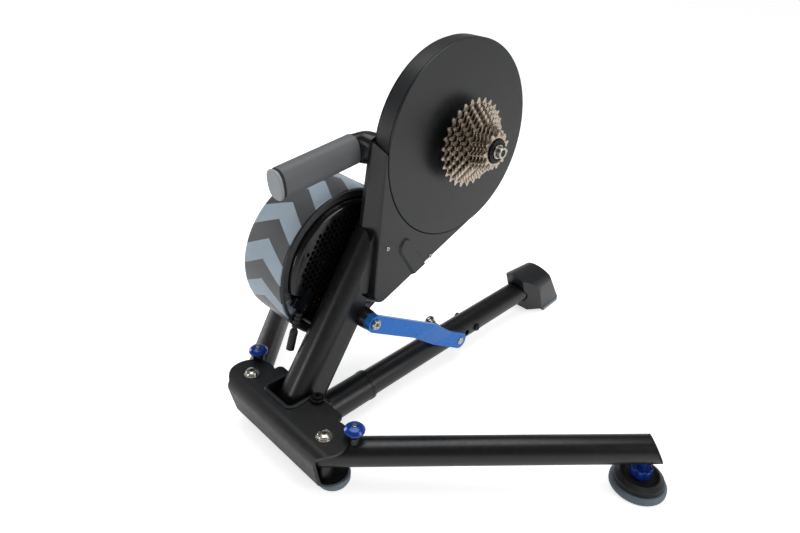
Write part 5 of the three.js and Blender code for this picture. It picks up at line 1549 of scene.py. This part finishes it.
@dataclass
class Cassette(SubAssembly):
    """The eleven sprockets in three clusters, with their freehub and lockring."""

    axle_y: float = AXLE_Y
    axle_z: float = AXLE_Z
    pitch: float = 12.7
    roller: float = 7.77
    tooth_rise: float = 2.1
    tooth: float = 1.7
    first_x: float = 21.8
    step: float = 3.74
    bore: float = 16.3
    hub: float = 18.4
    teeth: tuple[int, ...] = (28, 25, 23, 21, 19, 17, 15, 14, 13, 12, 11)
    tooth_outline: tuple[tuple[float, float], ...] = (
        (-0.5, 0.0), (-0.36, 0.05), (-0.26, 0.3), (-0.19, 0.62), (-0.12, 0.92), (-0.05, 1.0),
        (0.05, 1.0), (0.12, 0.92), (0.19, 0.62), (0.26, 0.3), (0.36, 0.05), (0.5, 0.0),
    )
    stagger: float = 0.13
    drilled_from: int = 19
    clusters: tuple[tuple[str, int, int, float], ...] = (
        ("cogs_large", 0, 3, 1.25), ("cogs_middle", 3, 6, 1.12), ("cogs_small", 6, 11, 1.0),
    )
    holes: int = 10
    axle: float = 10.0

    def sprocket(self, name: str, teeth: int, left: float) -> Piece:
        """Cuts one sprocket: a tooth traced once, repeated round the rim, filled and thickened.

        Args:
            name: the piece's name.
            teeth: the number of teeth.
            left: the place of its inner face along the axle.

        Returns:
            The sprocket.
        """
        hub = place(Axis.X, self.axle_y, self.axle_z)
        pitch_radius = self.pitch / (2 * math.sin(math.pi / teeth))
        root, tip = pitch_radius - self.roller / 2, pitch_radius + self.tooth_rise
        points = []
        for turn_share, rise_share in self.tooth_outline:
            angle = FULL_TURN * (turn_share + self.stagger * left) / teeth
            radius = root + (tip - root) * rise_share
            points.append(hub @ Vector((radius * math.cos(angle), radius * math.sin(angle), left)))
        piece = Bench.trace(name, points)
        bpy.ops.mesh.select_all(action="SELECT")
        bpy.ops.mesh.spin(steps=teeth, dupli=True, angle=FULL_TURN, center=hub.translation, axis=(1, 0, 0))
        bpy.ops.mesh.select_all(action="SELECT")
        bpy.ops.mesh.remove_doubles(threshold=0.02 * MM)
        bpy.ops.mesh.edge_face_add()
        bpy.ops.mesh.extrude_region_move(TRANSFORM_OT_translate={"value": (self.tooth * MM, 0, 0)})
        Bench.tidy()
        bore(piece, hub, self.bore, left - OVERRUN, left + OVERRUN * 2)
        if teeth >= self.drilled_from:
            hole, out = (root - self.hub) / 4, (root + self.hub) / 2 + 0.6
            for y, z in arc(self.axle_y, self.axle_z, out, steps=self.holes):
                bore(piece, place(Axis.X, y, z), hole, left - 1, left + self.tooth + 1, 20)
        Bench.soften(piece, 0.3, 1, 40)
        return piece

    def build(self) -> None:
        """Makes the clusters, the freehub and the lockring."""
        hub = place(Axis.X, self.axle_y, self.axle_z)
        end = self.first_x + self.step * (len(self.teeth) - 1) + self.tooth / 2
        for name, start, stop, share in self.clusters:
            left = self.first_x + self.step * start - self.tooth / 2
            right = self.first_x + self.step * stop - self.tooth / 2 - SEAT
            if stop == len(self.teeth):
                right = end
            cogs = [
                self.sprocket(name, teeth, left + self.step * k)
                for k, teeth in enumerate(self.teeth[start:stop])
            ]
            carrier = turned("carrier", rounded([
                (left + 0.4, self.bore), (left + 0.4, self.hub * share, 0.3),
                (right - 0.4, self.hub * share, 0.3), (right - 0.4, self.bore),
            ], 3), hub, ROUND, True)
            cluster = Bench.merge(cogs[0], *cogs[1:], carrier)
            cluster.name = cluster.data.name = name
            self.fit(Bench.polish(cluster), "cassette", NICKEL, name)

        inner = self.axle + SEAT
        freehub = turned("freehub", rounded([
            (6.3, inner), (6.3, 22, 0.5), (15.3, 22, 1.2), (15.3, 19), (17, 17), (17, self.bore - SEAT),
            (end - SEAT, self.bore - SEAT, 0.3), (end - SEAT, inner),
        ], 4), hub, ROUND, True)
        self.fit(Bench.polish(freehub), "cassette", DARK_STEEL, "freehub")
        ring = slab("lockring", starred(15.5, 15.9, 1.1, 18), hub, end + SEAT, end + 2.4)
        boss = turned("boss", rounded([
            (end + 1, 10.8), (end + 1, 13.4), (end + 3, 13.0, 0.4), (end + 3, 11.6, 0.3),
            (end + 2.2, 11.2, 0.2), (end + 2.2, 10.8),
        ], 3), hub, ROUND, True)
        bore(ring, hub, inner, end - OVERRUN, end + 5 + OVERRUN)
        Bench.combine(ring, Join.ADD, boss)
        Bench.soften(ring, 0.25, 2, 35)
        self.fit(Bench.polish(ring), "cassette", DARK_STEEL, "lockring")


@dataclass
class Flywheel(SubAssembly):
    """The painted drum with its fixed ring, perforated cover and cable clip."""

    y: float = FLYWHEEL_Y
    z: float = FLYWHEEL_Z
    front: float = -50.3
    back: float = -126.4
    radius: float = 101.7
    rim: float = 15.0
    web_left: float = -119.0
    web: float = 8.0
    hub: float = 20.0
    hub_front: float = -104.0
    shaft: float = 10.0
    ring_face: float = -47.5
    ring_thick: float = 2.5
    ring_radius: float = 100.4
    vent_face: float = -40.5
    vent_thick: float = 2.5
    shoulder: float = 90.5
    flat: float = 83.0
    bend: float = 4.0
    bore: float = 20.3
    hole: float = 2.35
    hole_pitch: float = 7.4
    hole_stretch: float = 1.25
    clip_out: float = 82.7
    clip_degrees: float = 199.4
    clip_width: float = 25.0
    clip_height: float = 13.0
    clip_thick: float = 6.0
    clip_turn: float = -39.7
    window_outer: float = 97.0
    window_inner: float = 79.0
    window_degrees: tuple[float, float, float] = (183.0, 191.0, 215.0)

    def drum(self) -> None:
        """Turns the drum."""
        where = place(Axis.X, self.y, self.z)
        inner = self.radius - self.rim
        drum = turned("flywheel", rounded([
            (self.front, inner, 1), (self.front, self.radius, 1.2), (self.back, self.radius, 2.2),
            (self.back, inner, 1.6), (self.web_left, inner - self.rim / 2, 3),
            (self.web_left, self.hub + 6, 2), (self.web_left - 3, self.hub + 3, 1),
            (self.web_left - 3, self.shaft + SEAT), (self.hub_front, self.shaft + SEAT),
            (self.hub_front, self.hub), (self.web_left + self.web, self.hub),
            (self.web_left + self.web, inner, 2),
        ], 5), where, ROUND_LARGE, True)
        paint = ChevronFinish(
            "drum_paint", "chevron_drum_paint", "#484a4d", "#4e5053", 0.38, metallic=0.15, coat=0.08,
            relief=0.05, middle=tuple(spot((self.front + self.back) / 2, self.y, self.z)),
        )
        self.fit(Bench.polish(drum), "flywheel", paint, "flywheel")

    def window(self, name: str) -> Piece:
        """The solid that opens the ring and the cover beside the clip."""
        start, inner_start, end = (math.radians(degrees) for degrees in self.window_degrees)
        outline = arc(0, 0, self.window_outer, start, end, 24)
        outline += reversed(arc(0, 0, self.window_inner, inner_start, end, 24))
        low, high = self.ring_face - self.ring_thick - OVERRUN, self.vent_face + OVERRUN
        return slab(name, outline, place(Axis.X, self.y, self.z), low, high)

    def clip_outline(self, grow: float) -> Outline:
        """The cable clip's outline, grown by an amount."""
        half_u, half_v = self.clip_width / 2 + grow, self.clip_height / 2 + grow
        out, turn = math.radians(self.clip_degrees), math.radians(self.clip_turn)
        middle = Vector((self.clip_out * math.cos(out), self.clip_out * math.sin(out)))
        corners = oblong(-half_u, -half_v, half_u, half_v, 2, 5)
        return [tuple(Matrix.Rotation(turn, 2) @ Vector(corner) + middle) for corner in corners]

    def covers(self) -> None:
        """Turns the ring and the perforated cover, opens the window and fits the clip."""
        where = place(Axis.X, self.y, self.z)
        ring_back = self.ring_face - self.ring_thick
        ring = turned("cover_ring", rounded([
            (ring_back, self.shoulder + SEAT), (ring_back, self.ring_radius, 0.4),
            (self.ring_face, self.ring_radius - 0.8, 1.2), (self.ring_face, self.shoulder + 1.2, 0.3),
            (self.ring_face - 0.6, self.shoulder + SEAT, 0.2),
        ], 4), where, ROUND_LARGE, True)
        Bench.combine(ring, Join.CUT, self.window("window"))
        self.fit(Bench.polish(ring), "body", COVER, "cover_ring")

        face, thick = self.vent_face, self.vent_thick
        vent = turned("vent_cover", rounded([
            (ring_back, self.shoulder - thick), (ring_back, self.shoulder),
            (face - self.bend, self.shoulder - 1.4, 2), (face, self.flat + 2.5, 4),
            (face, self.bore), (face - thick, self.bore), (face - thick, self.flat, 3),
            (face - self.bend - thick / 2, self.shoulder - thick - 1.4, 1),
        ], 5), where, ROUND_LARGE, True)
        seat = slab("clip_seat", self.clip_outline(SEAT), where, ring_back - OVERRUN, face + OVERRUN)
        Bench.combine(vent, Join.CUT, self.window("window"), seat, self.perforation())
        self.fit(Bench.polish(vent, False), "body", GLOSS, "vent_cover")

        clip = slab("cable_clip", self.clip_outline(0), where, face + 1 - self.clip_thick, face + 1)
        Bench.combine(clip, Join.CUT, slab("clip_hollow", self.clip_outline(-3), where, face - 1, face + 4))
        Bench.soften(clip, 0.6, 3)
        self.fit(Bench.polish(clip), "body", GLOSS, "cable_clip")

    def perforation(self) -> Piece:
        """Sets out one small peg and copies it into a field of staggered rows."""
        where = place(Axis.X, self.y, self.z)
        peg = slab(
            "pegs", [(u, v * self.hole_stretch) for u, v in arc(0, 0, self.hole, steps=10)], where,
            self.vent_face - 6, self.vent_face + 3,
        )
        row_step = self.hole_pitch * math.sqrt(3) / 2
        clip = math.radians(self.clip_degrees)
        clip_u, clip_v = self.clip_out * math.cos(clip), self.clip_out * math.sin(clip)
        pegs = []
        rows = int(self.flat / row_step) + 1
        for row in range(-rows, rows + 1):
            for column in range(-rows, rows + 1):
                u = (column + (row % 2) / 2) * self.hole_pitch
                v = row * row_step
                away, near = math.hypot(u, v), math.hypot(u - clip_u, v - clip_v)
                if self.bore + 6 <= away <= self.flat - 6 and near >= 20:
                    pegs.append(Bench.shifted(peg, "peg", where.to_3x3() @ Vector((u, v, 0))))
        bpy.data.objects.remove(peg)
        return Bench.merge(*pegs)

    def build(self) -> None:
        """Makes the drum and what stands in front of it."""
        self.drum()
        self.covers()


@dataclass
class Handle(SubAssembly):
    """The carrying handle: arm, grip and end cap."""

    x: float = -50.0
    rear_y: float = 32.0
    rear_z: float = 328.5
    length: float = 110.0
    rise_degrees: float = 8.8
    half_height: float = 19.0
    half_width: float = 14.0
    arm_run: float = 3.0
    arm_half_height: float = 18.0
    arm_half_width: float = 18.0
    cap: float = 7.0
    ring: float = 3.0
    fullness: float = 2.6
    plate_left: float = -25.1

    def build(self) -> None:
        """Makes the grip, its cap and the arm that turns to the frame plate."""
        rise = math.radians(self.rise_degrees)
        forwards = (0, math.cos(rise), math.sin(rise))
        where = place_along(
            (self.x, self.rear_y, self.rear_z), forwards, (0, -math.sin(rise), math.cos(rise))
        )
        high, wide = self.half_height, self.half_width
        grip = slab("handle_grip", flattened(high, wide, self.fullness), where, 0, self.length)
        core = slab(
            "core", flattened(high - 3.7, wide - 3.7, self.fullness), where, -OVERRUN, self.length + OVERRUN
        )
        Bench.combine(grip, Join.CUT, core)
        Bench.soften(grip, 0.7, 3)
        self.fit(Bench.polish(grip), "body", GRIP, "handle_grip")

        cap = slab("handle_cap", flattened(high, wide, self.fullness), where, -self.cap, -self.ring)
        Bench.soften(cap, 1.5, 4)
        self.fit(Bench.polish(cap), "body", CAP, "handle_cap")
        inset = flattened(high - 1.2, wide - 1.2, self.fullness)
        band = slab("handle_cap_band", inset, where, -self.ring + 0.02, -SEAT)
        self.fit(Bench.polish(band), "body", DARK_RUBBER)

        start = loop(where, flattened(high - 0.5, wide - 0.5, self.fullness), self.length + SEAT)
        far = Matrix.Translation((0, 0, self.length + self.arm_run + self.arm_half_width))
        across = where @ far @ Matrix.Rotation(math.pi / 2, 4, "X")
        foot = flattened(self.arm_half_height, self.arm_half_width, self.fullness)
        end = loop(across, foot, self.x - self.plate_left)
        arm = bridged("handle_arm", start, end, 16)
        core = slab(
            "core", flattened(high - 4, wide - 4, self.fullness), where, self.cap / 2,
            self.length + self.arm_run / 2,
        )
        Bench.combine(arm, Join.ADD, core)
        Bench.soften(arm, 0.6, 2, 40)
        self.fit(Bench.polish(arm), "body", POWDER, "handle_arm")


@dataclass
class Lead(SubAssembly):
    """The ribbed boot and the power connector below it."""

    x: float = -42.6
    y: float = 52.8
    z: float = 152.5
    ribs: int = 4
    rib: float = 4.6
    root: float = 3.3
    boot: float = 21.0
    boot_lean: float = 20.0
    connector_lean: float = 15.0
    connector: float = 5.2
    length: float = 28.0

    def build(self) -> None:
        """Turns the boot and the connector along their leaning lines."""
        lean = math.radians(self.boot_lean)
        down = (0, -math.sin(lean), -math.cos(lean))
        where = place_along((self.x, self.y, self.z), down, (1, 0, 0))
        profile: list[tuple[float, ...]] = [(0, 0)]
        step = self.boot / self.ribs
        for k in range(self.ribs):
            profile += [
                (k * step, self.rib, 0.5), ((k + 0.6) * step, self.rib, 0.5),
                ((k + 0.7) * step, self.root, 0.2),
            ]
            if k < self.ribs - 1:
                profile.append(((k + 0.97) * step, self.root, 0.2))
        profile += [(self.boot, self.root), (self.boot, 0)]
        boot = turned("cable_boot", rounded(profile, 3, False), where, ROUND_SMALL)
        self.fit(Bench.polish(boot), "body", DARK_RUBBER, "cable_boot")
        reach = self.boot + SEAT * 3
        start = (self.x, self.y - reach * math.sin(lean), self.z - reach * math.cos(lean))
        turn = math.radians(self.connector_lean)
        where = place_along(start, (0, -math.sin(turn), -math.cos(turn)), (1, 0, 0))
        plug = turned("power_connector", rounded([
            (0, 0), (0, 3.6, 0.5), (3, self.connector, 1), (9, self.connector, 0.3),
            (9.5, self.connector - 0.4, 0.2), (10.3, self.connector - 0.4, 0.2), (10.8, self.connector, 0.3),
            (self.length, self.connector, 0.6), (self.length, 2.6, 0.4),
            (self.length - 8, 2.4, 0.2), (self.length - 8, 0),
        ], 3, False), where, ROUND_SMALL)
        self.fit(Bench.polish(plug), "body", DARK_RUBBER, "power_connector")


@dataclass
class Link(SubAssembly):
    """The blue link with its bush, the cross pin and the pin's knob."""

    pin_y: float = 296.0
    pin_z: float = 33.06
    boss_y: float = LINK_Y
    boss_z: float = LINK_Z
    upper_face: float = 28.5
    lower_face: float = 24.0
    thick: float = 5.0
    boss: float = 11.4
    end: float = 12.0
    bend_top: float = 91.0
    bend_bottom: float = 57.0
    barrel_left: float = LINK_BARREL
    pin: float = 4.2
    pin_left: float = -30.0
    pin_right: float = 18.0
    knob_left: float = -43.0
    screw_hole: float = 5.3
    eye_hole: float = 4.7

    def build(self) -> None:
        """Cuts the link from a bent strip and turns its barrel, bush, pin and knob."""
        side = place(Axis.X)
        boss_tilt, end_tilt = math.radians(59.5), math.radians(61.2)
        outline = [
            *arc(self.boss_y, self.boss_z, self.boss, boss_tilt, boss_tilt + math.pi, ROUND_SMALL),
            *rounded([(0, 231.6), (188.1, 90.9, 40), (236, 54.5, 40), (400, -35.4)], closed=False)[1:-1],
            *arc(self.pin_y, self.pin_z, self.end, end_tilt - math.pi, end_tilt, ROUND_SMALL),
            *rounded([(400, -10.6), (272, 59.7, 30), (231.3, 93, 30), (100, 167.1)], closed=False)[1:-1],
        ]
        low, past = self.lower_face - self.thick - OVERRUN, self.upper_face + OVERRUN
        arm = slab("link_arm", outline, side, low, past)
        high = self.boss_z + self.boss * 2
        left_upper, left_lower = self.upper_face - self.thick, self.lower_face - self.thick
        strip = slab("strip", rounded([
            (high, self.upper_face), (self.bend_top, self.upper_face, 9),
            (self.bend_bottom, self.lower_face, 14), (0, self.lower_face),
            (0, left_lower), (self.bend_bottom, left_lower, 9), (self.bend_top, left_upper, 14),
            (high, left_upper),
        ], 6), place(Axis.Y), 0, self.pin_y + self.end * 2)
        Bench.combine(arm, Join.KEEP, strip)
        boss = place(Axis.X, self.boss_y, self.boss_z)
        eye = place(Axis.X, self.pin_y, self.pin_z)
        barrel = rod("barrel", boss, self.boss, self.barrel_left, self.upper_face - self.thick / 2)
        Bench.combine(arm, Join.ADD, barrel)
        bore(arm, boss, self.screw_hole, self.barrel_left - OVERRUN, past, ROUND_SMALL)
        bore(arm, eye, self.eye_hole, 0, past, ROUND_SMALL)
        Bench.soften(arm, 0.9, 3, 30)
        self.fit(Bench.polish(arm), "link", BLUE_METAL, "link_arm")

        face = self.lower_face
        bush = turned("link_bush", rounded([
            (face - self.thick, 0), (face - self.thick, 4.4), (face + 0.3, 4.4), (face + 0.3, 6, 0.2),
            (face + 1.3, 5, 0.5), (face + 1.3, 3, 0.4), (face + 0.9, 0),
        ], 4, False), eye, ROUND_SMALL)
        self.fit(Bench.polish(bush), "link", STAINLESS, "link_bush")
        pin = turned("cross_pin", rounded([
            (self.pin_left + SEAT, 0), (self.pin_left + SEAT, self.pin),
            (self.pin_right, self.pin, 1), (self.pin_right, 0),
        ], 4, False), eye, ROUND_SMALL)
        self.fit(Bench.polish(pin), "link_pin", STAINLESS, "cross_pin")
        knob = turned("cross_pin_knob", rounded([
            (self.pin_left, 0), (self.pin_left, 6.2, 0.4), (self.pin_left - 4, 6.2, 0.5),
            (self.pin_left - 5.2, 7.5, 0.3), (self.pin_left - 6.5, 10, 1),
            (self.knob_left + 3.5, 10, 2), (self.knob_left, 6.5, 3), (self.knob_left, 0),
        ], 5, False), eye)
        self.fit(Bench.polish(knob), "link_pin", STAINLESS, "cross_pin_knob")


@dataclass
class Carried(SubAssembly):
    """The CAD nodes that keep their own shapes and get a finish."""

    finishes: dict[str, Finish] = field(default_factory=lambda: {
        "large_pulley": DARK_STEEL,
        "belt": BELT,
        "flywheel_shaft": DARK_STEEL,
        "bearing_housing": DARK_STEEL,
        "brake_stator": BRAKE,
    })

    def build(self) -> None:
        """Checks that each node is there."""
        for name in self.finishes:
            LOG.info("%s keeps its shape: %d faces", name, len(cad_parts[name].data.polygons))

    def dress(self) -> None:
        """Gives each node its finish."""
        for name, finish in self.finishes.items():
            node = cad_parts[name]
            node.data.materials.clear()
            node.data.materials.append(finish.material())


@dataclass
class Studio:
    """The pale floor, soft lamps and camera."""

    floor_half: float = 9.0
    floor_drop: float = 0.0004
    floor_paint: float = 0.72
    floor_glow: float = 0.66
    floor_shine: float = 0.3
    air: float = 0.45
    fade: tuple[float, float, float, float] = (0.6, 0.12, 0.0, 0.35)
    aim: float = 0.22
    lens: float = 30.52
    sensor: float = 36.0
    shift: tuple[float, float] = (0.018, -0.0911)
    eye: tuple[float, float, float] = (524.31, -373.1, 627.65)
    right: tuple[float, float, float] = (0.6915, 0.7210, 0.0447)
    up: tuple[float, float, float] = (-0.3198, 0.2500, 0.9139)
    back: tuple[float, float, float] = (0.6477, -0.6463, 0.4035)
    lamps: tuple[tuple[str, tuple[float, float, float], float, float, float], ...] = (
        ("top_softbox", (-0.2, 0.1, 1.9), 1.5, 1.5, 21.0),
        ("left_softbox", (-1.4, -0.6, 0.32), 0.5, 0.55, 5.0),
        ("rear_softbox", (-0.35, -1.7, 0.4), 0.3, 0.35, 2.6),
        ("right_softbox", (1.7, 0.5, 0.9), 0.8, 0.8, 9.0),
    )

    def sky(self) -> None:
        """Lights the scene evenly; seen, it is white, and in reflections white that fades upwards."""
        world = bpy.data.worlds.new("studio_air")
        bpy.context.scene.world = world
        world.use_nodes = True
        nodes = Nodes(world.node_tree)
        rays = nodes.add("ShaderNodeLightPath").outputs
        parts = nodes.add("ShaderNodeSeparateXYZ")
        nodes.feed(parts.inputs[0], nodes.add("ShaderNodeTexCoord").outputs["Generated"])
        bright = nodes.math("MAXIMUM", nodes.spread(parts.outputs[2], *self.fade), rays["Is Camera Ray"])
        self.surface(
            nodes, "ShaderNodeOutputWorld", rays, nodes.work("ShaderNodeBackground", WHITE, self.air),
            nodes.work("ShaderNodeBackground", WHITE, bright),
        )

    @staticmethod
    def surface(
        nodes: Nodes, output: str, rays: bpy.types.bpy_prop_collection, plain: bpy.types.NodeSocket,
        seen: bpy.types.NodeSocket,
    ) -> None:
        """Shows one shader to the camera, straight or in a reflection or glass, and gives light by another.

        Args:
            nodes: the tree.
            output: the type of its output node.
            rays: what the tree knows about a ray.
            plain: the shader that gives light.
            seen: the shader that the camera sees.
        """
        shown = nodes.math("MAXIMUM", rays["Is Camera Ray"], rays["Is Glossy Ray"])
        shown = nodes.math("MAXIMUM", shown, rays["Is Transmission Ray"])
        mixed = nodes.work("ShaderNodeMixShader", shown, plain, seen)
        nodes.feed(nodes.add(output).inputs["Surface"], mixed)

    def floor(self) -> None:
        """Lays the pale floor, which keeps the trainer's shadow."""
        Bench.clear()
        bpy.ops.mesh.primitive_plane_add(size=self.floor_half * 2, location=(0, 0, -self.floor_drop))
        floor = bpy.context.object
        floor.name = floor.data.name = "studio_floor"
        material = bpy.data.materials.new("pale_floor")
        material.use_nodes = True
        nodes = Nodes(material.node_tree)
        rays = nodes.add("ShaderNodeLightPath").outputs
        paint = nodes.work("ShaderNodeBsdfDiffuse", (*[self.floor_paint] * 3, 1))
        extra = self.floor_glow - self.floor_shine
        level = nodes.math("MULTIPLY_ADD", rays["Is Camera Ray"], extra, self.floor_shine)
        glow = nodes.work("ShaderNodeEmission", WHITE, level)
        lit = nodes.work("ShaderNodeAddShader", paint, glow)
        self.surface(nodes, "ShaderNodeOutputMaterial", rays, paint, lit)
        floor.data.materials.append(material)

    def lights(self) -> None:
        """Hangs the soft lamps, each aimed at the middle of the trainer."""
        target = Vector((0, 0, self.aim))
        for name, spot_at, width, height, power in self.lamps:
            lamp = bpy.data.lights.new(name, "AREA")
            lamp.shape = "RECTANGLE"
            lamp.size, lamp.size_y = width, height
            lamp.energy = power
            holder = bpy.data.objects.new(name, lamp)
            bpy.context.scene.collection.objects.link(holder)
            holder.location = spot_at
            holder.rotation_euler = (target - Vector(spot_at)).to_track_quat("-Z", "Y").to_euler()

    def camera(self) -> None:
        """Stands the camera where the photograph was taken from."""
        camera = bpy.data.cameras.new("camera")
        camera.sensor_fit = "HORIZONTAL"
        camera.sensor_width = self.sensor
        camera.lens = self.lens
        camera.shift_x, camera.shift_y = self.shift
        camera.clip_end = 50
        holder = bpy.data.objects.new("camera", camera)
        bpy.context.scene.collection.objects.link(holder)
        turn = Matrix((self.right, self.up, self.back)).transposed().to_4x4()
        holder.matrix_world = Matrix.Translation(spot(*self.eye)) @ turn
        bpy.context.scene.camera = holder

    def clear(self) -> None:
        """Takes away the cube, lamp and camera that a new file starts with."""
        for name in ("Cube", "Light", "Camera"):
            if name in bpy.data.objects:
                bpy.data.objects.remove(bpy.data.objects[name])

    def build(self) -> None:
        """Sets up the whole studio."""
        self.clear()
        self.sky()
        self.floor()
        self.lights()
        self.camera()
        bpy.context.scene.view_settings.view_transform = "Standard"


def main() -> None:
    """Builds the studio and every sub-assembly, and reports each piece."""
    logging.basicConfig(level=logging.INFO, format="%(name)s: %(message)s")
    Studio().build()
    assemblies: list[SubAssembly] = [
        Bracket(), CentreLeg(), SideLegs(), Housing(), Post(), Cassette(), Flywheel(), Handle(), Lead(),
        Link(), Carried(),
    ]
    for assembly in assemblies:
        LOG.info("building %s", type(assembly).__name__)
        assembly.build()
        assembly.dress()
    Bench.clear()


if __name__ == "__main__":
    main()
